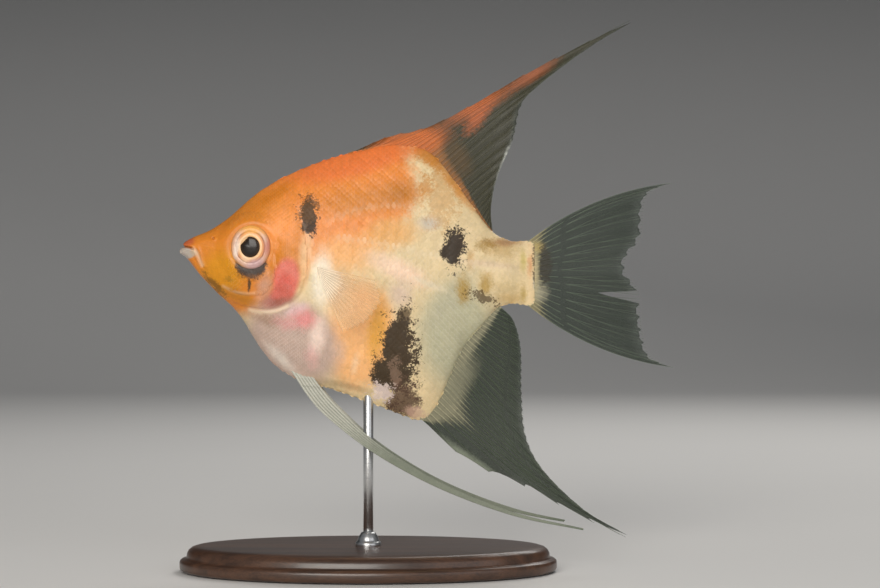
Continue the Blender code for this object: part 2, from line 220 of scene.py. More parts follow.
@dataclass
class BodyForm:
    """The body's outline and breadth, the same as the solids have, and the relief that the skin adds.

    Each outline is (x, value) pairs. The section at x runs from the belly, at rise -90 degrees, over the widest
    level to the back, at 90 degrees.
    """

    length: float = 70.3
    coat_depth: float = 0.12  # how far the skin lies inside the solids, under the scales
    back_line: Points = (
        (0.1, 0.45), (0.4, 0.9), (0.65, 1.4), (0.9, 1.95), (1.4, 2.35), (2.4, 2.9), (6.1, 4.5), (9.3, 6.6),
        (15.4, 11.8), (26.5, 17.6), (36, 20.4), (45, 21.6), (50.9, 19.8), (56.1, 13.5), (59.8, 8.3),
        (62.9, 4.3), (66, 2.5), (70.3, 2.3),
    )
    belly_line: Points = (
        (0.1, -0.5), (0.9, -1), (3.9, -4.6), (7.4, -8.3), (12, -12.8), (15.4, -18.3), (18.2, -22),
        (22.8, -25.4), (30.2, -27.6), (37.6, -30.2), (45, -33), (48.5, -34), (50.3, -33.2),
        (52.4, -30), (54.6, -25), (57.2, -19.4), (61, -14.9), (64.6, -11.2), (67, -10.5),
        (70.3, -11),
    )
    breadth_line: Points = (
        (0.1, 0.8), (0.9, 1.5), (3, 2.2), (6, 3.1), (10, 4.2), (14, 5.1), (18, 5.7), (24, 6.3),
        (30, 6.3), (36, 5.9), (42, 5.3), (48, 4.5), (54, 3.6), (60, 2.9), (66, 2.2), (70.3, 1.4),
    )
    level_line: Points = ((0.1, -0.05), (2.4, 0.6), (14, -0.2), (26, -3), (45, -3.5), (70.3, -4.3))
    edge_line: Points = ((0.1, 1), (6, 1.15), (20, 1.35), (50, 1.45), (70.3, 1.15))

    def __post_init__(self) -> None:
        """Turns the outlines into functions of x."""
        self.back, self.belly = profile(self.back_line), profile(self.belly_line)
        self.breadth, self.level = profile(self.breadth_line), profile(self.level_line)
        self.edge = profile(self.edge_line)

    def shell(self, x: Array, rise: Array, side: Array) -> Array:
        """The solids' surface.

        Args:
            x: places along the fish.
            rise: angles up the section, in radians.
            side: the signs of y.

        Returns:
            (x, y, z) points.
        """
        up, across = np.sin(rise), np.cos(rise)
        level = self.level(x)
        reach = np.where(up > 0, self.back(x) - level, level - self.belly(x))
        breadth = self.breadth(x) * np.sign(across) * np.abs(across) ** self.edge(x)
        return np.stack([x + 0 * up, side * breadth, level + reach * up], axis=-1)

    def outward(self, surface: Callable, x: Array, rise: Array, side: Array) -> tuple[Array, Array]:
        """Measures how a surface faces.

        Args:
            surface: a function like shell.
            x: places along the fish.
            rise: angles up the section.
            side: the signs of y.

        Returns:
            Unit normals that point out, and unit tangents that point to the tail.
        """
        small = 0.02
        along = surface(np.clip(x + small, 0, self.length), rise, side)
        along = along - surface(np.maximum(x - small, 0), rise, side)
        upward = surface(x, rise + small, side) - surface(x, rise - small, side)
        normal = np.cross(upward, along) * np.asarray(side)[..., None]
        normal /= np.linalg.norm(normal, axis=-1, keepdims=True) + 1e-12
        return normal, along / (np.linalg.norm(along, axis=-1, keepdims=True) + 1e-12)


@dataclass(frozen=True)
class Furrow:
    """A crease, fold or plate edge on the flank, the same on both sides.

    Left and right are seen along the line's run, with the head to the left of the picture.
    """

    line: Points
    depth: float = 0
    width: float = 0.25
    left_lip: float = 0  # height of the fold beside the crease
    right_lip: float = 0
    lip_off: float = 0.45  # distance of the lips from the crease
    lip_width: float = 0.3
    plate: float = 0  # height of the plate that ends at the line, to its right
    plate_reach: float = 3
    fade: float = 0.12  # share of the length over which each end dies out

    def height(self, x: Array, z: Array) -> Array:
        """Heights over the plain body.

        Args:
            x: places along the fish.
            z: their heights.

        Returns:
            Heights in millimetres.
        """
        gap, share = measured(self.line, x, z, 2.5 * self.plate_reach)
        height = -self.depth * hump(gap, self.width)
        height += self.left_lip * hump(gap - self.lip_off, self.lip_width)
        height += self.right_lip * hump(gap + self.lip_off, self.lip_width)
        height += self.plate * np.where(gap < 0, hump(gap, self.plate_reach), 0) * smooth(-gap, 0, 0.4)
        return height * smooth(share, 0, self.fade) * smooth(1 - share, 0, self.fade)


GILL_EDGE: Points = (
    (23, 9.6), (24.6, 6.6), (25.6, 2.8), (26.1, -1.2), (25.9, -5.2), (24.6, -8.6), (22, -10.6), (18.2, -11.6),
    (13.8, -11.2), (9.8, -10), (7, -8.4),
)
LATERAL_UPPER: Points = ((28.4, 5), (31, 6.6), (35.6, 8.2), (39.5, 8.9), (44, 9.2), (47.5, 8.4), (51.5, 6.4))
LATERAL_LOWER: Points = ((29.5, 3), (36.4, 2.1), (42.1, 1.2), (49.5, -0.6), (56.7, -2.2), (63, -3.4), (69.6, -4.2))

FURROWS = (
    # The mouth's slit between rolled lips, and the fold of the upper jaw behind it
    Furrow(((-1.2, 1.16), (0.5, 1.1), (1.6, 1), (2.5, 0.72), (3.1, 0.3)), 0.5, 0.2, 0.13, 0.16, 0.5, 0.3, fade=0.1),
    Furrow(((2.6, 1.5), (3.5, 0.4), (4.1, -1.2), (4.6, -2.8), (5.5, -4.1)), 0.2, 0.24, 0.1, 0.13, 0.5, 0.34, fade=0.3),
    Furrow(((1.6, -0.9), (3, -1.5), (4, -3), (5.4, -5.4)), 0.1, 0.3, 0, 0.06, 0.5, 0.4, fade=0.4),
    # The edge of the front gill plate, and the rear edge of the gill cover with the membrane under it
    Furrow(((19.6, 0.6), (19.7, -3.4), (18.9, -6.6), (16.4, -8.8), (12.4, -8.7), (8.4, -7)), 0.1, 0.22, 0.03, 0.05,
           0.5, 0.4, plate=0.09, plate_reach=2.2, fade=0.2),
    Furrow(GILL_EDGE, 0.09, 0.36, 0.05, 0, 0.75, 0.4, plate=0.2, plate_reach=3.2, fade=0.3),
    Furrow(((12.4, -11.5), (15.4, -12.2), (18.2, -12.6), (21, -12.2), (23.6, -10.9), (25.6, -9.2)), 0.1, 0.2, 0.1,
           0, 0.4, 0.28, fade=0.25),
    # The bone under the eye, the brow and the crease from the eye to the nostril
    Furrow(((9.6, -1.6), (10.8, -4.2), (13.6, -6), (17, -5.6), (19.3, -3.2)), 0.05, 0.3, 0.05, 0, 0.6, 0.5,
           fade=0.3),
    Furrow(((9.9, 3.4), (11.6, 5.6), (14.6, 6.7), (17.8, 5.9), (19.9, 3.8)), 0.05, 0.4, 0.07, 0, 0.8, 0.6, fade=0.3),
    Furrow(((4, 1.9), (6, 1.7), (8.6, 1.4)), 0.05, 0.4, 0.04, 0.03, 0.7, 0.5, fade=0.4),
    # The two runs of the lateral line
    Furrow(LATERAL_UPPER, 0.03, 0.16, 0.02, 0.02, 0.3, 0.2),
    Furrow(LATERAL_LOWER, 0.03, 0.16, 0.02, 0.02, 0.3, 0.2),
)


@dataclass
class SkinForm:
    """The skin's surface: the body's form drawn in by the coat's depth, with the relief of the head on it."""

    body: BodyForm = field(default_factory=BodyForm)
    eye_x: float = 14.7
    eye_z: float = 0.86
    eye_level: float = 5  # of the flat round the eye, from the midplane
    eye_slope: float = 0.12  # the flat faces this much forwards
    eye_flat: float = 4.5
    eye_blend: float = 7.4
    socket_edge: float = 4.02
    socket_floor: float = 3.36
    socket_depth: float = 1.4
    nostril: Pair = (7, 2.7)
    shoulder: Pair = (28, -5.2)  # the fleshy root of the pectoral fin
    tail_start: float = 65  # where the tail stalk starts to thin towards the fin
    tail_taper: float = 0.62
    nostril_rim: float = 0.08
    nostril_depth: float = 0.38
    shoulder_swell: float = 0.45
    eye_groove: float = 0.05
    unevenness: float = 0.035
    fine: int = 241  # angles at which the girth is measured

    def rises(self, x: Array, shares: Array) -> Array:
        """Angles up the section that part its girth evenly.

        Args:
            x: n places along the fish.
            shares: (m,) or (n, m) shares of the way from belly to back, along the skin.

        Returns:
            (n, m) angles, in radians.
        """
        fine = np.linspace(-math.pi / 2, math.pi / 2, self.fine)
        run, _ = self.girth(x)
        shares = np.broadcast_to(shares, (len(x), np.shape(shares)[-1]))
        return np.array([np.interp(share, r / r[-1], fine) for share, r in zip(shares, run)])

    def girth(self, x: Array) -> tuple[Array, Array]:
        """Measures sections along the skin, from the belly up.

        Args:
            x: places along the fish.

        Returns:
            The lengths to each of the fine angles, and to the widest level.
        """
        fine = np.linspace(-math.pi / 2, math.pi / 2, self.fine)
        section = self.body.shell(x[:, None], fine[None], 1)
        steps = np.linalg.norm(np.diff(section[..., 1:], axis=1), axis=2)
        run = np.concatenate([np.zeros((len(x), 1)), np.cumsum(steps, axis=1)], axis=1)
        return run, np.array([np.interp(0, fine, r) for r in run])

    def eye_distance(self, x: Array, z: Array) -> Array:
        """Distances from the eye's centre, seen from the side."""
        return np.hypot(x - self.eye_x, z - self.eye_z)

    def relief(self, x: Array, z: Array) -> Array:
        """Heights of the skin's folds and hollows over the plain body.

        Args:
            x: places along the fish.
            z: their heights.

        Returns:
            Heights in millimetres.
        """
        height = sum(furrow.height(x, z) for furrow in FURROWS)
        away = np.hypot(x - self.nostril[0], z - self.nostril[1])
        height += self.nostril_rim * hump(away - 0.42, 0.16) - self.nostril_depth * hump(away, 0.26)
        fleshy = np.hypot((x - self.shoulder[0]) / 1.5, (z - self.shoulder[1]) / 2.3)
        height += self.shoulder_swell * hump(fleshy, 1)
        height -= self.eye_groove * hump(self.eye_distance(x, z) - 4.38, 0.3)
        waves = np.sin(1.9 * x + 0.7 * z) * np.sin(1.3 * z - 0.5 * x)
        return height + self.unevenness * waves * smooth(x, 8, 20)

    def place(self, x: Array, rise: Array, side: Array) -> Array:
        """The skin's surface.

        Args:
            x: places along the fish.
            rise: angles up the section, in radians.
            side: the signs of y.

        Returns:
            (x, y, z) points.
        """
        points = self.body.shell(x, rise, side)
        normal, _ = self.body.outward(self.body.shell, x, rise, side)
        flat_x, flat_z = points[..., 0], points[..., 2]
        lift = self.relief(flat_x, flat_z) - self.body.coat_depth
        eye = self.eye_distance(flat_x, flat_z)
        on_flank = smooth(np.abs(points[..., 1]), 1, 2.4)
        near = (1 - smooth(eye, self.eye_flat, self.eye_blend)) * on_flank
        level = self.eye_level + self.eye_slope * (flat_x - self.eye_x)
        points[..., 1] += near * (side * level - points[..., 1])
        points += normal * lift[..., None]
        sunk = self.socket_depth * (1 - smooth(eye, self.socket_floor, self.socket_edge)) * on_flank
        points[..., 1] -= side * sunk
        points[..., 1] *= 1 - self.tail_taper * smooth(flat_x, self.tail_start, self.body.length)
        return points


# ---- Meshes ----


def new_object(name: str, data: bpy.types.ID) -> Object:
    """Puts a mesh, a lamp or a camera in the scene as an object of that name."""
    bpy.context.scene.collection.objects.link(made := bpy.data.objects.new(name, data))
    return made


def mesh_object(name: str, points: Array, faces: Sequence[Sequence[int]], edges: Sequence = ()) -> Object:
    """Makes an object from points.

    Args:
        name: the object's name.
        points: (n, 3) places in the row's frame, in metres.
        faces: rows of point numbers.
        edges: pairs of point numbers, for a mesh with no faces.

    Returns:
        The new object, shaded smooth.
    """
    mesh = bpy.data.meshes.new(name)
    mesh.from_pydata(np.asarray(points).tolist(), list(edges), [list(face) for face in faces])
    mesh.validate()
    mesh.shade_smooth()
    return new_object(name, mesh)


def set_values(mesh: bpy.types.Mesh, name: str, values: Array) -> None:
    """Stores one number or one vector for each point, under a name that materials and node trees read."""
    form, key = ("FLOAT_VECTOR", "vector") if np.ndim(values) == 2 else ("FLOAT", "value")
    mesh.attributes.new(name, form, "POINT").data.foreach_set(key, np.asarray(values, np.float32).ravel())


def grid_faces(rows: int, columns: int, closed: bool = False) -> list[tuple[int, int, int, int]]:
    """Quads of a grid whose points run along each row.

    Args:
        rows: number of rows.
        columns: points in each row.
        closed: whether each row's last point joins its first.

    Returns:
        Point numbers, four for each quad.
    """
    faces = []
    for i in range(rows - 1):
        for j in range(columns if closed else columns - 1):
            k = (j + 1) % columns
            faces.append((i * columns + j, i * columns + k, (i + 1) * columns + k, (i + 1) * columns + j))
    return faces


def ring_body(name: str, rings: Array, ends: Array) -> Object:
    """A closed body over a stack of rings.

    Args:
        name: the object's name.
        rings: (rows, points, 3) places in the row's frame, in metres.
        ends: the two points that close it.

    Returns:
        The object.
    """
    rows, ring = rings.shape[:2]
    faces, last = grid_faces(rows, ring, closed=True), (rows - 1) * ring
    faces += [(rows * ring, (j + 1) % ring, j) for j in range(ring)]
    faces += [(rows * ring + 1, last + j, last + (j + 1) % ring) for j in range(ring)]
    return mesh_object(name, np.vstack([rings.reshape(-1, 3), ends]), faces)


def turned(name: str, rows: Points, centre: Array, out: Array, up: Array, parts: int = 96,
           stretch: Pair = (1, 1)) -> Object:
    """A closed body turned about an axis.

    Args:
        name: the object's name.
        rows: (radius, height) pairs from one end of the axis to the other, in millimetres.
        centre: the axis's foot in the row's frame, in metres.
        out: the axis's direction.
        up: a direction across the axis, where the turn starts.
        parts: points round the axis.
        stretch: factors on the radius along up and across it.

    Returns:
        The object, with each point's radius and height stored as turned.
    """
    out, up = np.array(out, float), np.array(up, float)
    out /= np.linalg.norm(out)
    up -= out * (up @ out)
    up /= np.linalg.norm(up)
    angle = np.arange(parts) * math.tau / parts
    ring = stretch[0] * np.cos(angle)[:, None] * up + stretch[1] * np.sin(angle)[:, None] * np.cross(out, up)
    radius, height = np.array(rows, float).T[:, :, None]
    rings = centre + MM * (radius[..., None] * ring + height[..., None] * out)
    made = ring_body(name, rings, centre + MM * height[[0, -1]] * out)
    turn = np.stack(np.broadcast_arrays(radius, height, angle), axis=-1).reshape(-1, 3)
    set_values(made.data, "turned", np.vstack([turn, [(0, rows[0][1], 0), (0, rows[-1][1], 0)]]))
    return outward_faces(made)


def outward_faces(obj: Object) -> Object:
    """Turns a closed body's faces outwards, if its volume comes out negative.

    Args:
        obj: the body.

    Returns:
        The same object.
    """
    mesh = obj.data
    mesh.calc_loop_triangles()
    points = np.empty(len(mesh.vertices) * 3)
    mesh.vertices.foreach_get("co", points)
    corners = np.empty(len(mesh.loop_triangles) * 3, np.int32)
    mesh.loop_triangles.foreach_get("vertices", corners)
    triangles = points.reshape(-1, 3)[corners.reshape(-1, 3)]
    if np.linalg.det(triangles - triangles.reshape(-1, 3).mean(axis=0)).sum() < 0:
        mesh.flip_normals()
    return obj


def place_piece(obj: Object, slot: str, replaced: Sequence[str] = (), finish: "Finish | None" = None) -> None:
    """Parents a finished piece to its body, adds its finish where one is given, hides the solids it stands for, and
    logs its slot's name.

    Args:
        obj: the piece.
        slot: the slot's name.
        replaced: the solids' node names.
        finish: what covers it, where no tree has set that.
    """
    if finish:
        obj.data.materials.append(finish.material())
    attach(obj, BODY)
    if replaced:
        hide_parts(*replaced)
    LOG.info("%s: %d faces, slot %s", obj.name, len(obj.data.polygons), slot)


# ---- Node trees ----


class Wiring:
    """Adds nodes to a tree and joins them."""

    def __init__(self, tree: Tree) -> None:
        """Keeps the tree that the nodes go into."""
        self.tree = tree

    def feed(self, socket: Socket, value: object) -> None:
        """Links a socket to another, or sets it to a plain value.

        Args:
            socket: the input.
            value: the output to link, or the value.
        """
        if isinstance(value, bpy.types.NodeSocket):
            self.tree.links.new(value, socket)
        elif isinstance(value, (tuple, list)) and socket.type == "RGBA" and len(value) == 3:
            socket.default_value = (*value, 1)
        else:
            socket.default_value = value

    def node(self, kind: str, inputs: Inputs | None = None, **settings: object) -> bpy.types.Node:
        """Adds one node.

        Args:
            kind: the node's type name.
            inputs: values or sockets, by input name or number.
            settings: the node's own properties.

        Returns:
            The node.
        """
        made = self.tree.nodes.new(kind)
        for name, value in settings.items():
            setattr(made, name, value)
        for name, value in (inputs or {}).items():
            self.feed(made.inputs[name], value)
        return made

    def math(self, operation: str, *values: object, clamp: bool = False) -> Socket:
        """The result of one arithmetic step on numbers or sockets."""
        made = self.node("ShaderNodeMath", dict(enumerate(values)), operation=operation, use_clamp=clamp)
        return made.outputs[0]

    def times(self, one: object, two: object) -> Socket:
        """The product of two numbers or sockets."""
        return self.math("MULTIPLY", one, two)

    def scaled(self, value: object, factor: object, offset: object, clamp: bool = False) -> Socket:
        """A value times a factor, plus an offset."""
        return self.math("MULTIPLY_ADD", value, factor, offset, clamp=clamp)

    def vector(self, operation: str, one: object, two: object, output: str = "Vector") -> Socket:
        """The result of one arithmetic step on vectors."""
        return self.node("ShaderNodeVectorMath", {0: one, 1: two}, operation=operation).outputs[output]

    def mix(self, share: object, one: object, two: object, blend: str = "MIX") -> Socket:
        """A mix of two colours."""
        inputs = {0: share, 6: one, 7: two}
        return self.node("ShaderNodeMix", inputs, data_type="RGBA", blend_type=blend).outputs[2]

    def ramp(self, value: Socket, low: object, high: object, to_low: object = 0, to_high: object = 1) -> Socket:
        """A smooth change from one number to another as a value goes from low to high."""
        inputs = {0: value, 1: low, 2: high, 3: to_low, 4: to_high}
        return self.node("ShaderNodeMapRange", inputs, interpolation_type="SMOOTHSTEP").outputs[0]

    def noise(self, vector: Socket, scale: object, detail: float = 3, rough: float = 0.55) -> Socket:
        """A noise value about 0.5."""
        inputs = {"Vector": vector, "Scale": scale, "Detail": detail, "Roughness": rough}
        return self.node("ShaderNodeTexNoise", inputs).outputs[0]

    def wobble(self, *noise: object) -> Socket:
        """A noise value about 0."""
        return self.math("SUBTRACT", self.noise(*noise), 0.5)

    def bump(self, height: Socket, strength: float, distance: float) -> Socket:
        """A surface direction that follows a height, its distance in metres."""
        inputs = {"Strength": strength, "Distance": distance, "Height": height}
        return self.node("ShaderNodeBump", inputs).outputs[0]

    def parts(self, vector: Socket) -> bpy.types.NodeOutputs:
        """The three numbers of a vector."""
        return self.node("ShaderNodeSeparateXYZ", {0: vector}).outputs

    def place(self) -> Socket:
        """The shaded point in the row's frame, in metres."""
        return self.node("ShaderNodeTexCoord").outputs["Object"]

    def drawn(self, vector: Socket, scale: Colour) -> Socket:
        """A place stretched along each axis, for a pattern with a direction."""
        return self.node("ShaderNodeMapping", {"Vector": vector, "Scale": scale}).outputs[0]

    def attribute(self, name: str, output: str = "Fac") -> Socket:
        """A value that the piece's mesh carries."""
        return self.node("ShaderNodeAttribute", attribute_name=name).outputs[output]

    def shared(self, group: Tree, **inputs: object) -> bpy.types.NodeOutputs:
        """Places a node group, and gives its outputs."""
        return self.node("ShaderNodeGroup", inputs, node_tree=group).outputs

    def painted(self, colour: object, patches: Sequence, point: Socket, noise: Socket,
                most: object = None) -> tuple[object, object]:
        """Lays patches over a colour.

        Args:
            colour: the colour under them.
            patches: the patches, the top one last.
            point: the shaded point in the fish's frame.
            noise: what frays their edges.
            most: 0 where the strongest mask is wanted too.

        Returns:
            The colour, and the strongest mask.
        """
        for patch in patches:
            mask = patch.mask(self, point, noise)
            colour = self.mix(mask, colour, patch.colour)
            most = None if most is None else self.math("MAXIMUM", most, mask)
        return colour, most


class GroupMaker(Wiring):
    """A new node group with named inputs and outputs."""

    def __init__(self, name: str, inputs: dict[str, str], outputs: dict[str, str], kind: str = "Shader") -> None:
        """Makes the group and its sockets.

        Args:
            name: the group's name.
            inputs: types of sockets, by name.
            outputs: the same for what it gives.
            kind: Shader or Geometry.
        """
        super().__init__(bpy.data.node_groups.new(name, f"{kind}NodeTree"))
        for way, sockets in (("INPUT", inputs), ("OUTPUT", outputs)):
            for socket, form in sockets.items():
                self.tree.interface.new_socket(name=socket, in_out=way, socket_type=f"NodeSocket{form}")
        self.given = self.tree.nodes.new("NodeGroupInput").outputs
        self.results = self.tree.nodes.new("NodeGroupOutput").inputs


def fish_point(wires: Wiring) -> Socket:
    """The shaded point in the fish's frame, in millimetres."""
    inputs = {"Vector": wires.place(), "Location": tuple(-FISH.origin / MM), "Scale": (1 / MM,) * 3}
    return wires.node("ShaderNodeMapping", inputs, vector_type="POINT").outputs[0]


class SharedGroups:
    """The shader node groups that several finishes use, each made once."""

    @staticmethod
    @cache
    def patch() -> Tree:
        """A soft or ragged oval mask on the flank.

        Across and Up are the oval's axes, each divided by its radius. The group has no node that changes the kind
        of a vector, because many patches in a row would then fill the renderer's stack and turn black.

        Returns:
            The group.
        """
        inputs = {"Point": "Vector", "Centre": "Vector", "Across": "Vector", "Up": "Vector", "Softness": "Float",
                  "Ragged": "Float", "Noise": "Float"}
        group = GroupMaker("soft patch", inputs, {"Mask": "Float"})
        given = group.given
        off = group.vector("SUBTRACT", given["Point"], given["Centre"])
        across, up = (group.vector("DOT_PRODUCT", off, given[axis], "Value") for axis in ("Across", "Up"))
        away = group.math("SQRT", group.scaled(up, up, group.times(across, across)))
        frayed = group.scaled(given["Noise"], given["Ragged"], group.math("SUBTRACT", 1, away))
        group.feed(group.results["Mask"], group.ramp(frayed, 0, given["Softness"]))
        return group.tree

    @staticmethod
    @cache
    def mottle() -> Tree:
        """Fine uneven tone for living skin and fins: a number about 1 to multiply colours by.

        Returns:
            The group.
        """
        group = GroupMaker("mottle", {"Point": "Vector", "Size": "Float", "Amount": "Float"}, {"Tone": "Float"})
        given = group.given
        broad, fine = group.wobble(given["Point"], 0.35, 4), group.wobble(given["Point"], given["Size"], 3, 0.5)
        group.feed(group.results["Tone"], group.scaled(group.math("ADD", broad, fine), given["Amount"], 1))
        return group.tree

    @staticmethod
    @cache
    def markings() -> Tree:
        """The koi pattern: the colour at a point of the fish, and where it is black or silvery.

        Returns:
            The group.
        """
        outputs = {"Colour": "Color", "Black": "Float", "Silver": "Float"}
        group = GroupMaker("koi markings", {"Point": "Vector"}, outputs)
        point = group.given["Point"]
        coarse, fine = group.wobble(point, 0.55, 5, 0.6), group.wobble(point, 2.6, 3, 0.7)
        fray = group.math("ADD", coarse, group.times(fine, 0.9))
        colour, _ = group.painted(CREAM, KOI_PATCHES, point, fray)
        colour, dark = group.painted(colour, BLACK_PATCHES, point, fray, 0)
        silver: object = 0
        for patch in SILVER_PATCHES:
            silver = group.math("MAXIMUM", silver, patch.mask(group, point, coarse))
        tone = group.shared(SharedGroups.mottle(), Point=point, Size=1.7, Amount=0.22)[0]
        group.feed(group.results["Colour"], group.mix(1, colour, tone, "MULTIPLY"))
        group.feed(group.results["Black"], dark)
        group.feed(group.results["Silver"], silver)
        return group.tree


@dataclass(frozen=True)
class Patch:
    """One oval of colour on the flank, in the fish's frame.

    Turn is in degrees and leans the top towards the tail. Softness is the share of the radius over which the
    edge fades, and ragged how far noise moves it.
    """

    colour: Colour
    x: float
    z: float
    radius_x: float
    radius_z: float
    turn: float = 0
    soft: float = 0.5
    ragged: float = 0
    strength: float = 1

    def mask(self, wires: Wiring, point: Socket, noise: Socket) -> Socket:
        """The oval's mask, times its strength.

        Args:
            wires: the tree it goes into.
            point: the shaded point in the fish's frame.
            noise: what frays its edge.

        Returns:
            The mask.
        """
        c, s = math.cos(math.radians(self.turn)), math.sin(math.radians(self.turn))
        made = wires.shared(
            SharedGroups.patch(), Point=point, Centre=(self.x, 0, self.z), Noise=noise,
            Across=(c / self.radius_x, 0, -s / self.radius_x), Up=(s / self.radius_z, 0, c / self.radius_z),
            Softness=self.soft, Ragged=self.ragged,
        )[0]
        return made if self.strength == 1 else wires.times(made, self.strength)


def patches(*rows: tuple) -> tuple[Patch, ...]:
    """Patches from rows of their fields."""
    return tuple(Patch(*row) for row in rows)


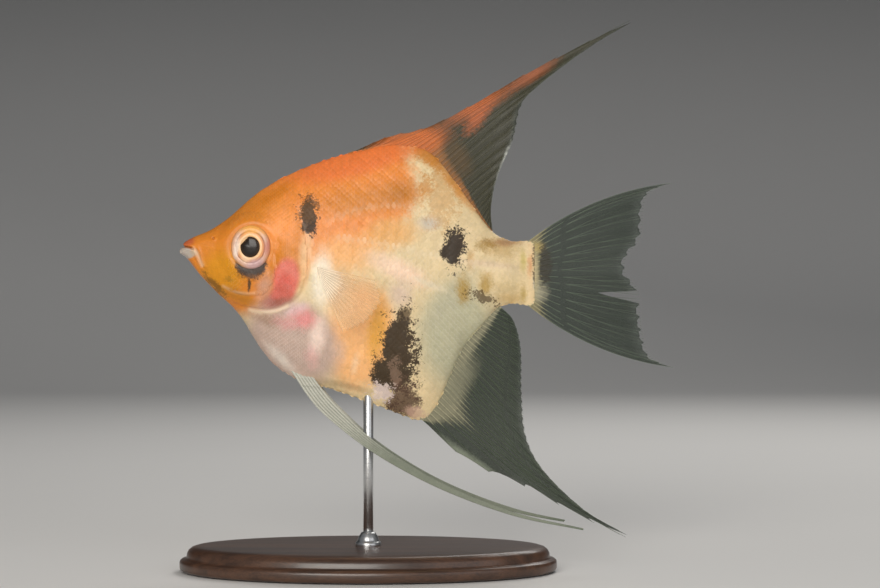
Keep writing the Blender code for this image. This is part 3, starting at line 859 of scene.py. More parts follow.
CREAM: Colour = (0.76, 0.58, 0.33)
INK: Colour = (0.045, 0.03, 0.018)
BROWN_INK: Colour = (0.06, 0.039, 0.02)
KOI_PATCHES = patches(
    # The rear: greenish cream below, warm above and along the back's edge, golden blotches, and a pale streak along
    # the lateral line that is a painted highlight
    ((0.5, 0.465, 0.305), 56, -17, 11, 15, 0, 0.6),
    ((0.5, 0.459, 0.31), 54, -10, 4, 12, 40, 0.9, 0.3, 0.7),
    ((0.61, 0.514, 0.4), 50.3, 5.6, 3.6, 2.2, 0, 0.9, 0.5),
    ((0.74, 0.33, 0.09), 55.9, 12.9, 10, 1.9, 51, 0.9, 0.9, 0.95),
    ((0.56, 0.21, 0.03), 50.2, 19.4, 7.2, 2.8, 30, 0.7, 0.8, 0.95),
    ((0.52, 0.33, 0.12), 65, 0.2, 5.6, 3.2, 0, 0.9, 1.4, 0.6),
    ((0.54, 0.38, 0.17), 66.5, -7.6, 4.8, 2.6, 0, 0.9, 1.4, 0.5),
    ((0.42, 0.235, 0.11), 65.5, 1.9, 6, 1.4, 0, 0.9, 0.5, 0.9),
    ((0.42, 0.258, 0.054), 57.1, -7.6, 2.1, 4.2, 0, 0.8, 0.9, 0.9),
    ((0.48, 0.301, 0.08), 61.6, -6.6, 2, 3.4, 0, 0.8, 0.9, 0.9),
    ((0.38, 0.22, 0.05), 61.8, 1.4, 3.2, 2, 0, 0.9, 1.1, 0.85),
    ((0.64, 0.434, 0.19), 66.6, -9.4, 4.4, 1.7, 0, 0.9, 0.8, 0.9),
    ((0.51, 0.285, 0.096), 58.6, -1.6, 1.2, 3, 0, 0.9, 1.2, 0.7),
    # a painted highlight along the lateral line
    ((0.69, 0.507, 0.32), 62.5, -2.5, 9, 1.1, 6, 0.9, 0.3, 0.9),
    ((0.57, 0.259, 0.054), 53, 11, 5, 7.5, 0, 0.6, 2.4, 0.45),
    # The orange of the head, back and upper flank
    ((0.82, 0.251, 0.038), 25, 12.5, 25, 16.5, -3, 0.2, 0.16),
    ((0.69, 0.222, 0.021), 12, 0, 16.5, 14.5, 0, 0.25),
    ((0.89, 0.434, 0.15), 34, -0.5, 11, 6, -8, 0.9, 0.3, 0.9),
    ((0.65, 0.208, 0.011), 37, 10, 13, 4.6, -6, 0.8, 0.25, 0.9),
    ((0.82, 0.194, 0.043), 35, 18.3, 19, 4.6, -15, 0.6, 0.15),
    ((0.62, 0.18, 0.0064), 19, 11.2, 8, 2, -32, 0.9, 0.2, 0.85),
    ((0.96, 0.311, 0.06), 21, 5.4, 5.4, 6.4, 0, 0.9),
    ((0.5, 0.165, 0.006), 44.6, 11.6, 6.5, 4.4, 0, 0.9, 0.3, 0.85),
    ((0.8, 0.4, 0.12), 42.6, 3.6, 7.6, 4.6, -4, 0.7, 0.3, 0.85),
    ((0.62, 0.29, 0.08), 49.6, 13.4, 2.2, 2.4, 0, 0.7, 2.4, 0.75),
    # The belly's orange in front of the black band, and its paler parts
    ((0.98, 0.498, 0.2), 36.5, -17, 8.6, 13, 6, 0.4, 0.25),
    ((0.98, 0.674, 0.4), 32.4, -10, 5, 6.5, 10, 0.9, 0.4, 0.8),
    ((0.81, 0.383, 0.063), 40, -16, 3.2, 9.5, 8, 0.8, 0.4, 0.95),
    ((0.98, 0.631, 0.36), 35.4, -22.6, 1.2, 3.2, 14, 0.9, 0.9, 0.8),
    ((0.98, 0.556, 0.31), 32.4, -20.2, 2, 3.6, 10, 0.9, 0.9, 0.7),
    ((0.32, 0.193, 0.096), 33.5, -26.9, 8, 1.1, 13, 0.9, 0.3, 0.5),
    # The pinkish-white bar across the middle of the flank
    ((0.93, 0.648, 0.45), 44, -3.6, 9.5, 3.2, 26, 0.8, 0.4),
    ((0.77, 0.64, 0.44), 50.5, -6.6, 5.5, 1, 22, 0.9, 0.3, 0.8),
    ((0.71, 0.524, 0.38), 44.5, -8.5, 3.6, 4.6, 0, 0.9, 0.6),
    # The face: golden snout, pink upper lip, white lower lip
    ((0.67, 0.267, 0.0084), 9, -4.2, 6.4, 6.6, 0, 0.7, 0.1),
    ((0.48, 0.18, 0.012), 12.7, -9.2, 6.6, 2, 26, 0.8, 0.2, 0.85),
    ((0.53, 0.125, 0.04), 1.5, 2.2, 2.2, 1.6, 0, 0.6),
    ((0.46, 0.4, 0.34), 1.1, -0.3, 2.6, 1.35, 0, 0.3),
    ((0.51, 0.354, 0.23), 3.1, -0.2, 1.5, 1, 40, 0.9, 0.1, 0.8),
    ((0.17, 0.0781, 0.0054), 7.2, -6.6, 1.1, 4, -42, 0.7, 1.9, 0.8),
    ((0.29, 0.148, 0.012), 10.2, -5.6, 1.8, 0.8, 20, 0.7, 1.6, 0.5),
    # The breast: brown pink under the throat with painted shade under the gill membrane, then silvery white with a
    # pink flush
    ((0.57, 0.4, 0.32), 23, -18, 12.5, 10, 34, 0.4, 0.1),
    # painted shade under the gill membrane's edge
    ((0.34, 0.19, 0.11), 17.6, -13.4, 5.6, 2.1, 22, 0.9, 0.15, 0.6),
    ((0.8, 0.7, 0.6), 20.6, -21.6, 1.8, 6.6, -44, 0.9, 0.6, 0.65),
    ((0.93, 0.698, 0.58), 28, -17, 2.6, 6, 10, 0.9, 0.4),
    ((0.8, 0.552, 0.53), 24, -11.6, 3.6, 1.8, -20, 0.9, 0.5),
    ((0.82, 0.289, 0.27), 25.2, -13.6, 4, 3.2, -10, 0.9, 0.5, 0.95),
    ((0.72, 0.33, 0.3), 21.8, -14.4, 4, 2.2, 16, 0.9, 0.8, 0.75),
    ((0.86, 0.432, 0.39), 26.8, -21, 2.2, 3.6, 0, 0.9, 0.9, 0.5),
    # The cheek, the red of the gills showing through, and the pearly edge of the cover with a painted highlight on it
    ((0.64, 0.3, 0.17), 17.6, -7, 2.8, 4.6, 20, 0.9, 0.3),
    ((0.85, 0.479, 0.22), 25.6, -1, 1.8, 8, 4, 0.9),
    # the pearly edge of the cover, partly a painted highlight
    ((0.98, 0.873, 0.7), 29, -5.6, 3.2, 8, 3, 0.9, 0.2),
    ((0.45, 0.168, 0.13), 20.2, -9.6, 5, 2.3, -18, 0.7, 0.12),
    ((0.76, 0.177, 0.12), 21.9, -5.4, 3.2, 5, 8, 0.4, 0.08),
    ((0.68, 0.0994, 0.067), 21.5, -6.6, 2.6, 3.4, 20, 0.8, 0.12, 0.85),
    ((0.62, 0.12, 0.08), 21.1, -8.2, 3.3, 2.2, -16, 0.5, 0.12, 0.9),
    ((0.34, 0.1, 0.06), 20.6, -9.9, 3.4, 1, -18, 0.9, 0.3, 0.75),
    # The root of the tail fin
    ((0.57, 0.442, 0.12), 69.2, -1.6, 1.1, 3.2, 0, 0.9, 0.8, 0.7),
    ((0.47, 0.311, 0.075), 69.3, -8.6, 1.1, 3, 0, 0.9, 0.8, 0.7),
    ((0.62, 0.3, 0.13), 70.6, -2.6, 0.8, 3.6, 0, 0.9, 1.6, 0.75),
    ((0.6, 0.46, 0.16), 72.6, -3.4, 1, 6, 0, 0.9, 0.9, 0.85),
    ((0.66, 0.6, 0.46), 71.6, -6, 0.7, 2.6, 0, 0.9, 1.2, 0.8),
)
BLACK_PATCHES = patches(
    # The crescent under the eye with its drip, the shoulder spot and the flank spot
    ((0.075, 0.038, 0.02), 14.9, -3.1, 3.4, 3, 0, 0.3, 0.7, 0.95),
    ((0.04, 0.021, 0.012), 14.7, -2.6, 3.5, 2.5, 4, 0.3, 0.5),
    ((0.08, 0.045, 0.018), 14.4, -6.6, 0.5, 2, 4, 0.6, 1.3, 0.95),
    ((0.05, 0.02, 0.005), 26.3, 6.6, 1.7, 3.9, -6, 0.22, 1.1),
    ((0.12, 0.055, 0.015), 26, 8, 2.3, 3.4, -6, 0.4, 2.4, 0.8),
    (INK, 55.2, 0.4, 1.6, 3.6, 10, 0.22, 0.8),
    (INK, 54.2, 0, 2, 1.6, 0, 0.25, 1),
    (INK, 55.6, 1, 2.2, 4.4, 6, 0.3, 2.6),
    # The ragged band on the belly
    ((0.11, 0.07, 0.034), 45, -14, 1.7, 3.6, 14, 0.3, 1.3, 0.9),
    (BROWN_INK, 43.5, -18.6, 2.7, 5.6, 6, 0.25, 0.9),
    (BROWN_INK, 42.8, -24.6, 4.7, 4.6, 0, 0.25, 1),
    (BROWN_INK, 44.1, -21.4, 3.9, 9.6, 4, 0.3, 2.6),
    ((0.1, 0.055, 0.035), 44.8, -29.6, 4, 4.6, 12, 0.4, 1.6, 0.9),
    # Pale mottles over the band's foot, and freckles on the tail stalk
    ((0.78, 0.62, 0.55), 40.8, -28.2, 2.8, 2, 0, 0.3, 2.4, 0.85),
    ((0.3, 0.19, 0.13), 43.4, -23.8, 1.6, 3, 0, 0.5, 2.8, 0.5),
    ((0.6, 0.38, 0.28), 47.6, -32.4, 2.8, 1.4, 20, 0.5, 1.4, 0.7),
    ((0.09, 0.055, 0.025), 61, -9.2, 3, 1, 20, 0.3, 4.2, 0.8),
    ((0.12, 0.08, 0.04), 71.8, -2.4, 0.7, 5, 0, 0.4, 3, 0.85),
)
SILVER_PATCHES = patches(
    (CREAM, 23, -18, 9, 8, 30, 0.8),
    (CREAM, 29, -6, 4, 9, 0, 0.9),
    (CREAM, 47, -5, 10, 6, 26, 0.9, 0, 0.7),
    (CREAM, 56, -17, 10, 14, 0, 0.8, 0, 0.5),
)


class Finish:
    """What every finish shares: a material with one Principled shader, made once."""

    @cache
    def material(self) -> bpy.types.Material:
        """Makes the material when it is first asked for.

        Returns:
            The finish's material.
        """
        made = bpy.data.materials.new(self.name)
        made.use_nodes = True
        wires, shader = Wiring(made.node_tree), made.node_tree.nodes["Principled BSDF"].inputs
        for name, value in self.dress(wires).items():
            wires.feed(shader[name], value)
        return made

    def dress(self, wires: Wiring) -> Inputs:
        """Adds the finish's nodes to its material's tree, and returns what the shader's inputs take."""
        raise NotImplementedError


@dataclass(frozen=True)
class SkinFinish(Finish):
    """Wet-looking skin with the koi markings, painted shade in its creases, and pale lines along its folds, edges and
    lateral line that are partly painted highlights.
    """

    name: str = "angelfish skin"
    roughness: float = 0.36
    grain: float = 0.00005  # height of the fine grain, in metres
    flesh: float = 0.12
    # the colour of the painted shade in the creases
    crease_colour: Colour = (0.23, 0.085, 0.03)
    # the colour of the pale lines, which are partly painted highlights
    bright_colour: Colour = (0.9, 0.7, 0.48)

    def dress(self, wires: Wiring) -> Inputs:
        """Wires markings, the painted shade in the creases, the pale lines with their painted highlights, and grain.

        Args:
            wires: the material's tree.

        Returns:
            What each input of the shader takes.
        """
        point = fish_point(wires)
        marks = wires.shared(SharedGroups.markings(), Point=point)
        crease, bright = wires.attribute("crease"), wires.attribute("bright")
        # painted shade: the colour darkened where the skin is creased
        colour = wires.mix(wires.times(crease, 0.6), marks["Colour"], self.crease_colour)
        # pale lines, partly painted highlights, kept off the black
        bright = wires.times(bright, wires.math("SUBTRACT", 1, marks["Black"]))
        colour = wires.mix(wires.times(bright, 0.75), colour, self.bright_colour)
        grain = wires.noise(point, 6, 3, 0.6)
        pits = wires.node("ShaderNodeTexVoronoi", {"Vector": point, "Scale": 2.2}).outputs[0]
        gloss = wires.scaled(grain, 0.12, self.roughness - 0.06)
        return {
            "Base Color": colour, "Roughness": wires.scaled(marks["Silver"], -0.06, gloss),
            "Normal": wires.bump(wires.math("ADD", grain, wires.times(pits, 0.8)), 0.6, self.grain),
            "Coat Weight": wires.scaled(marks["Black"], -0.12, 0.12), "Coat Roughness": 0.2,
            "Subsurface Weight": self.flesh, "Subsurface Radius": (1, 0.45, 0.2), "Subsurface Scale": 0.0008,
            "Specular IOR Level": 0.3,
        }


@dataclass(frozen=True)
class ScaleFinish(Finish):
    """Scales with the markings of the skin, each a little different, and a rear edge paled by a painted highlight, a
    pearly sheen.
    """

    name: str = "angelfish scales"
    roughness: float = 0.36
    # the rear edge's paleness is a painted highlight
    rim: float = 0.22  # how pale a silvery scale's rear edge is
    # the colours of the painted rim highlight and of the pale lines, which are partly painted highlights
    rim_colour: Colour = (0.98, 0.92, 0.84)
    bright_colour: Colour = (0.95, 0.78, 0.56)

    def dress(self, wires: Wiring) -> Inputs:
        """Wires markings, each scale's tone, the painted highlight on its rear edge, the pale lines with their painted
        highlights, and its growth rings.

        Args:
            wires: the material's tree.

        Returns:
            What each input of the shader takes.
        """
        point = fish_point(wires)
        marks = wires.shared(SharedGroups.markings(), Point=point)
        tone = wires.scaled(wires.attribute("tone"), 0.1, 0.96)
        colour = wires.mix(1, marks["Colour"], tone, "MULTIPLY")
        pale = wires.math("SUBTRACT", 1, marks["Black"])
        # painted highlight: the rear edge paled, most where the skin is silvery and never on black
        edge = wires.times(wires.ramp(wires.attribute("rear"), 0.55, 1), self.rim)
        edge = wires.times(wires.times(edge, wires.scaled(marks["Silver"], 0.8, 0.2)), pale)
        colour = wires.mix(edge, colour, self.rim_colour)
        # pale lines, partly painted highlights, kept off the black
        bright = wires.times(wires.attribute("bright"), pale)
        colour = wires.mix(wires.times(bright, 0.5), colour, self.bright_colour)
        sheen = wires.scaled(marks["Silver"], -0.08, self.roughness)
        rings = wires.node("ShaderNodeTexWave", {"Vector": wires.attribute("leaf", "Vector"), "Scale": 3.4,
                                                 "Distortion": 0.6, "Detail": 1},
                           wave_type="RINGS", rings_direction="SPHERICAL").outputs["Fac"]
        return {
            "Base Color": colour, "Roughness": wires.scaled(marks["Black"], 0.08, sheen),
            "Normal": wires.bump(rings, 0.25, 0.00002),
            "Coat Weight": wires.scaled(marks["Black"], -0.08, 0.08), "Coat Roughness": 0.2,
            "Subsurface Weight": 0.1, "Subsurface Radius": (1, 0.5, 0.25), "Subsurface Scale": 0.0006,
            "Specular IOR Level": 0.25,
        }


@dataclass(frozen=True)
class EyeFinish(Finish):
    """The iris: a cream ring at the pupil, a silvery outer ring, orange above and rosy behind, with painted shade in
    the groove between its rings and a painted highlight at its front.
    """

    name: str = "angelfish iris"
    inner: Colour = (0.92, 0.58, 0.3)
    rings: tuple[tuple[float, float, Colour], ...] = (  # from and to which radius each colour comes in
        # the second of these rings, dark, is painted shade in the groove round the cream ring
        (2.3, 2.7, (0.74, 0.32, 0.13)), (2.8, 3, (0.4, 0.17, 0.09)), (3, 3.25, (0.72, 0.44, 0.31)),
        (3.6, 3.9, (0.66, 0.34, 0.16)), (3.95, 4.12, (0.36, 0.14, 0.05)),
    )
    patches: tuple[Patch, ...] = patches(
        ((0.86, 0.4, 0.08), 14.8, 4.6, 4.6, 2.2, 6, 0.9, 0.3, 0.95),
        ((0.56, 0.36, 0.36), 15.6, -2.7, 3.4, 1.9, -16, 0.8, 0.4, 0.9),
        ((0.54, 0.19, 0.14), 18.1, 0.9, 1.2, 3.2, 8, 0.9, 0.9, 0.85),
        # pale cream at the iris's front, partly a painted highlight
        ((0.92, 0.78, 0.66), 11.9, 0.6, 0.9, 3.6, 12, 0.9, 0.3, 0.8),
        ((0.9, 0.66, 0.46), 13.6, -1.6, 1.4, 1.2, 40, 0.9, 0.5, 0.6),
    )

    def dress(self, wires: Wiring) -> Inputs:
        """Wires the rings by the distance from the eye's axis, and the patches over them.

        Args:
            wires: the material's tree.

        Returns:
            What each input of the shader takes.
        """
        point = fish_point(wires)
        away = wires.parts(wires.attribute("turned", "Vector"))[0]
        noise = wires.wobble(point, 1.6, 4)
        radius = wires.scaled(noise, 0.35, away)
        colour: object = self.inner
        for low, high, ring in self.rings:
            colour = wires.mix(wires.ramp(radius, low, high), colour, ring)
        colour, _ = wires.painted(colour, self.patches, point, noise)
        return {
            "Base Color": wires.mix(1, colour, wires.scaled(noise, 0.5, 1), "MULTIPLY"),
            "Roughness": wires.scaled(noise, 0.1, 0.32),
            "Normal": wires.bump(wires.noise(point, 5, 2), 0.4, 0.00004),
            "Specular IOR Level": 0.3, "Coat Weight": 0.2, "Coat Roughness": 0.1,
        }


@dataclass(frozen=True)
class PupilFinish(Finish):
    """The lens in the pupil: black with a brown bloom at its rim."""

    name: str = "angelfish pupil"
    black: Colour = (0.008, 0.006, 0.005)
    cloud: Colour = (0.035, 0.022, 0.014)
    bloom: Colour = (0.07, 0.035, 0.015)

    def dress(self, wires: Wiring) -> Inputs:
        """Wires the cloud and the bloom.

        Args:
            wires: the material's tree.

        Returns:
            What each input of the shader takes.
        """
        away = wires.parts(wires.attribute("turned", "Vector"))[0]
        bloom = wires.ramp(away, 1.2, 2)
        cloud = wires.noise(fish_point(wires), 1.2, 2)
        dark = wires.mix(wires.times(cloud, 0.5), self.black, self.cloud)
        return {
            "Base Color": wires.mix(wires.times(bloom, 0.5), dark, self.bloom), "Roughness": 0.26,
            "Specular IOR Level": 0.25, "Coat Weight": 0.12, "Coat Roughness": 0.05,
        }


@dataclass(frozen=True)
class FinFinish(Finish):
    """A fin's membrane or its rays: a base colour, patches of others, and how clear it is."""

    name: str
    colour: Colour
    root_colour: Colour
    edge_colour: Colour
    patches: tuple[Patch, ...] = ()
    opacity_root: float = 0.95
    opacity: float = 0.8
    opacity_edge: float = 0.7
    streaks: float = 0  # how much darker the membrane is between rays
    rays: float = 38  # number of streaks over the fin
    bands: float = 0  # strength of the joints along a ray
    joints: float = 260  # how close together the joints are
    root_share: float = 0.12
    rim_start: float = 0.86
    roughness: float = 0.38

    def dress(self, wires: Wiring) -> Inputs:
        """Wires colour, streaks and clearness.

        Args:
            wires: the material's tree.

        Returns:
            What each input of the shader takes.
        """
        point = fish_point(wires)
        along, across, _ = wires.parts(wires.attribute("fan", "Vector"))
        noise = wires.wobble(point, 1.3, 4, 0.65)
        frayed = wires.scaled(noise, 0.12, along)
        root = wires.ramp(frayed, self.root_share * 0.3, self.root_share)
        rim = wires.ramp(frayed, self.rim_start, 1)
        colour = wires.mix(rim, wires.mix(root, self.root_colour, self.colour), self.edge_colour)
        colour, mask = wires.painted(colour, self.patches, point, noise, 0)
        clear = wires.ramp(root, 0, 1, self.opacity_root, self.opacity)
        clear = wires.scaled(rim, self.opacity_edge - self.opacity, clear)
        tone = wires.shared(SharedGroups.mottle(), Point=point, Size=2.4, Amount=0.3)[0]
        if self.streaks:
            tone = wires.scaled(wires.math("SINE", wires.times(across, self.rays * math.tau)), self.streaks, tone)
        if self.bands:
            tone = wires.scaled(wires.math("SINE", wires.times(along, self.joints)), self.bands, tone)
        return {
            "Base Color": wires.mix(1, colour, tone, "MULTIPLY"),
            "Alpha": wires.scaled(mask, 0.12, clear, clamp=True),
            "Roughness": wires.scaled(noise, 0.1, self.roughness),
            "Normal": wires.bump(tone, 0.4, 0.00003), "Specular IOR Level": 0.3,
        }


@dataclass(frozen=True)
class WoodFinish(Finish):
    """Dark stained hardwood under a satin lacquer, its grain along X."""

    name: str = "stained wood"
    dark: Colour = (0.03, 0.014, 0.008)
    light: Colour = (0.115, 0.052, 0.026)

    def dress(self, wires: Wiring) -> Inputs:
        """Wires grain streaks, pores and lacquer.

        Args:
            wires: the material's tree.

        Returns:
            What each input of the shader takes.
        """
        place = wires.place()
        streaks = wires.noise(wires.drawn(place, (16, 420, 420)), 1, 4)
        pores = wires.noise(wires.drawn(place, (260, 5200, 5200)), 1, 2)
        grain = wires.scaled(pores, 0.35, wires.times(streaks, 0.65))
        return {
            "Base Color": wires.mix(wires.ramp(grain, 0.3, 0.75), self.dark, self.light),
            "Roughness": wires.scaled(pores, 0.18, 0.3), "Normal": wires.bump(pores, 0.35, 0.00004),
            "Coat Weight": 0.35, "Coat Roughness": 0.18,
        }


@dataclass(frozen=True)
class SteelFinish(Finish):
    """Brushed stainless steel, its lines round the rod."""

    name: str = "brushed steel"
    dark: Colour = (0.5, 0.51, 0.52)
    light: Colour = (0.72, 0.72, 0.71)

    def dress(self, wires: Wiring) -> Inputs:
        """Wires the brush lines.

        Args:
            wires: the material's tree.

        Returns:
            What each input of the shader takes.
        """
        place = wires.place()
        brush = wires.noise(wires.drawn(place, (300, 300, 14000)), 1, 3)
        return {
            "Base Color": wires.mix(brush, self.dark, self.light), "Roughness": wires.scaled(brush, 0.22, 0.2),
            "Normal": wires.bump(brush, 0.25, 0.00001), "Metallic": 1,
        }


@dataclass(frozen=True)
class StudioFinish(Finish):
    """Matt pale card, faintly uneven, that darkens a little up the backdrop."""

    name: str = "studio card"
    floor: Colour = (0.74, 0.73, 0.71)
    wall: Colour = (0.1, 0.107, 0.114)

    def dress(self, wires: Wiring) -> Inputs:
        """Wires the fade up the backdrop.

        Args:
            wires: the material's tree.

        Returns:
            What each input of the shader takes.
        """
        place = wires.place()
        card = wires.mix(wires.ramp(wires.parts(place)[2], 0.02, 0.5), self.floor, self.wall)
        tone = wires.scaled(wires.noise(place, 9, 2), 0.03, 0.985)
        return {"Base Color": wires.mix(1, card, tone, "MULTIPLY"), "Roughness": 0.85}


# ---- Geometry trees ----


def named(wires: Wiring, name: str, form: str) -> Socket:
    """A value stored on the geometry under a name, as FLOAT or FLOAT_VECTOR."""
    return wires.node("GeometryNodeInputNamedAttribute", {"Name": name}, data_type=form).outputs[0]


def finished(wires: Wiring, geometry: Socket, material: Socket) -> Socket:
    """The end that every geometry tree has: real mesh with its material."""
    real = wires.node("GeometryNodeRealizeInstances", {"Geometry": geometry}).outputs[0]
    return wires.node("GeometryNodeSetMaterial", {"Geometry": real, "Material": material}).outputs[0]


def scale_tree() -> Tree:
    """Grows a leaf-shaped scale on every root and gives each its own place on the atlas.

    Returns:
        The tree.
    """
    inputs = {"Roots": "Geometry", "Leaf": "Object", "Finish": "Material", "Unit": "Float", "Patch": "Float"}
    tree = GroupMaker("scales over the skin", inputs, {"Coat": "Geometry"}, "Geometry")
    given = tree.given
    leaf = tree.node("GeometryNodeObjectInfo", {"Object": given["Leaf"]}).outputs["Geometry"]
    turn = tree.node("FunctionNodeEulerToRotation", {0: named(tree, "turn", "FLOAT_VECTOR")}).outputs[0]
    size = tree.times(named(tree, "size", "FLOAT"), given["Unit"])
    grown = tree.node("GeometryNodeInstanceOnPoints", {"Points": given["Roots"], "Instance": leaf,
                                                       "Rotation": turn, "Scale": size}).outputs[0]
    real = tree.node("GeometryNodeRealizeInstances", {"Geometry": grown}).outputs[0]
    spread = tree.node("ShaderNodeVectorMath", {0: named(tree, "leaf", "FLOAT_VECTOR"), "Scale": given["Patch"]},
                       operation="SCALE").outputs[0]
    place = tree.vector("ADD", named(tree, "root", "FLOAT_VECTOR"), spread)
    stored = tree.node("GeometryNodeStoreNamedAttribute", {"Geometry": real, "Name": ATLAS},
                       data_type="FLOAT2", domain="CORNER")
    tree.feed(stored.inputs["Value"], place)
    tree.feed(tree.results["Coat"], finished(tree, stored.outputs[0], given["Finish"]))
    return tree.tree


def ray_tree() -> Tree:
    """Makes a tapering round ray along every line of edges.

    Returns:
        The tree.
    """
    inputs = {"Lines": "Geometry", "Finish": "Material", "Sides": "Int"}
    tree = GroupMaker("fin rays", inputs, {"Rays": "Geometry"}, "Geometry")
    given = tree.given
    lines = tree.node("GeometryNodeMeshToCurve", {"Mesh": given["Lines"]}).outputs[0]
    ring = tree.node("GeometryNodeCurvePrimitiveCircle", {"Resolution": given["Sides"], "Radius": 1}).outputs[0]
    tubes = tree.node("GeometryNodeCurveToMesh", {"Curve": lines, "Profile Curve": ring, "Fill Caps": True,
                                                  "Scale": named(tree, "thickness", "FLOAT")}).outputs[0]
    soft = tree.node("GeometryNodeSetShadeSmooth", {"Geometry": tubes}).outputs[0]
    tree.feed(tree.results["Rays"], finished(tree, soft, given["Finish"]))
    return tree.tree


def run_tree(obj: Object, tree: Tree, settings: Inputs) -> Object:
    """Runs a geometry tree on an object, and turns the result into plain mesh.

    Args:
        obj: the object that holds the tree's roots or lines, which is removed.
        tree: the tree.
        settings: values for the tree's inputs, by name.

    Returns:
        A new object of the same name, with no modifiers.
    """
    modifier = obj.modifiers.new(tree.name, "NODES")
    modifier.node_group = tree
    for item in tree.interface.items_tree:
        if item.in_out == "INPUT" and item.name in settings:
            modifier[item.identifier] = settings[item.name]
    name, graph = obj.name, bpy.context.evaluated_depsgraph_get()
    mesh = bpy.data.meshes.new_from_object(obj.evaluated_get(graph), preserve_all_data_layers=True, depsgraph=graph)
    bpy.data.objects.remove(obj)
    mesh.name = name
    return new_object(name, mesh)


# ---- The skin ----


@dataclass
class Skin:
    """One skin over head, gill covers, trunk and tail stalk, with no seam."""

    form: SkinForm
    finish: SkinFinish = SkinFinish()
    start: float = 0.15  # x of the first section
    head_end: float = 27
    head_sections: int = 215
    rear_sections: int = 110
    side_points: int = 149
    nose: float = 0.22
    tail: float = 1.25
    tail_round: float = 0.16  # how far the tail's end draws in up and down
    cap_turns: tuple[float, ...] = (15, 30, 45, 60, 72, 82)
    nodes: tuple[str, ...] = ("head", "lower_jaw", "gill_cover_left", "gill_cover_right", "trunk", "tail_stalk")

    def atlas(self, x: Array) -> Array:
        """The atlas's u at places along the fish."""
        return 0.02 + 0.96 * np.clip(x / self.form.body.length, 0, 1)

    def sections(self) -> Array:
        """Places the sections along the fish, closest together on the head.

        Returns:
            Their x.
        """
        t = np.linspace(0, 1, self.head_sections)
        head = self.start + (self.head_end - self.start) * (0.5 * t + 0.5 * t * t)
        rear = np.linspace(self.head_end, self.form.body.length, self.rear_sections + 1)[1:]
        return np.concatenate([head, rear])

    def _rings(self, x: Array) -> Array:
        """Closed rings of skin points, up the right side and down the left.

        Args:
            x: places of the sections.

        Returns:
            (sections, points, 3) places.
        """
        rise = self.form.rises(x, np.linspace(0, 1, self.side_points))
        right = self.form.place(x[:, None], rise, 1)
        left = self.form.place(x[:, None], rise[:, -2:0:-1], -1)
        return np.concatenate([right, left], axis=1)

    def _capped(self, rings: Array) -> Array:
        """Adds rounded ends: a button at the nose and a wedge at the tail.

        Args:
            rings: the skin's rings.

        Returns:
            The rings with those of the ends.
        """
        nose, tail = [], []
        middle, last = rings[0].mean(axis=0), rings[-1].mean(axis=0)
        for turn in np.radians(self.cap_turns):
            cap = middle + (rings[0] - middle) * math.cos(turn)
            cap[:, 0] -= self.nose * math.sin(turn)
            nose.insert(0, cap)
            drawn = 1 - self.tail_round * (1 - math.cos(turn))
            wedge = last + (rings[-1] - last) * (1, math.cos(turn), drawn)
            wedge[:, 0] += self.tail * math.sin(turn)
            tail.append(wedge)
        return np.concatenate([nose, rings, tail])

    def _atlas_corners(self, u: Array, ring: int) -> Array:
        """The atlas places of every face corner, in the order of the faces.

        Args:
            u: the atlas's u for each ring.
            ring: points in a ring.

        Returns:
            Their u and v by turns.
        """
        v, level = np.arange(ring + 1) / ring, np.repeat(u[:, None], ring, axis=1)
        left, right = (np.tile(some, (len(u), 1)) for some in (v[:-1], v[1:]))
        corners = level[:-1], left[1:], level[:-1], right[1:], level[1:], right[1:], level[1:], left[1:]
        middle = (left[0] + right[0]) / 2
        nose = level[0], middle, level[0], right[0], level[0], left[0]
        tail = level[-1], middle, level[-1], left[0], level[-1], right[0]
        return np.concatenate([np.stack(places, axis=-1).ravel() for places in (corners, nose, tail)])

    def build(self) -> None:
        """Makes the skin with its atlas, the creases that painted shade follows, and the pale lines that are partly
        painted highlights.
        """
        x = self.sections()
        rings = self._capped(self._rings(x))
        ends = rings[[0, -1]].mean(axis=1)
        made = ring_body("skin", FISH.world(rings), FISH.world(ends))
        end = np.linspace(0, 0.02, len(self.cap_turns), endpoint=False)
        u = np.concatenate([end, self.atlas(x), 0.98 + (0.02 - end)[::-1]])
        made.data.uv_layers.new(name=ATLAS).uv.foreach_set("vector", self._atlas_corners(u, len(rings[0])))
        flat_x, _, flat_z = np.vstack([rings.reshape(-1, 3), ends]).T
        # how deep each point lies in a crease, which the painted shade follows
        set_values(made.data, "crease", smooth(-self.form.relief(flat_x, flat_z), 0.04, 0.3))
        # where the pale lines run, partly painted highlights
        set_values(made.data, "bright", bright_lines(flat_x, flat_z))
        place_piece(outward_faces(made), "skin_orange", self.nodes, self.finish)


PALE_LINES_AND_HIGHLIGHTS: tuple[tuple[Points, float, float], ...] = (
    # Pale lines, partly painted highlights: the edges of the gill membrane and of the front gill plate, the fold
    # behind the mouth, the lateral line
    (((23.8, 9.4), (25.4, 6.4), (26.4, 2.8), (26.9, -1.2), (26.7, -5.4), (25.3, -9.3), (22.4, -11.8)), 0.6, 0.3),
    (((8.4, -6.6), (11, -7.9), (13.6, -8.4), (16.2, -8.3)), 0.3, 0.35),
    (((13.6, -11.5), (16.4, -12.15), (19.6, -11.9), (22.8, -10.5)), 0.42, 0.85),
    (((2.6, 1), (3.7, -0.4), (4.4, -2), (5, -3.2)), 0.42, 0.6),
    (LATERAL_LOWER, 0.5, 0.5),
    (LATERAL_UPPER, 0.5, 0.3),
)


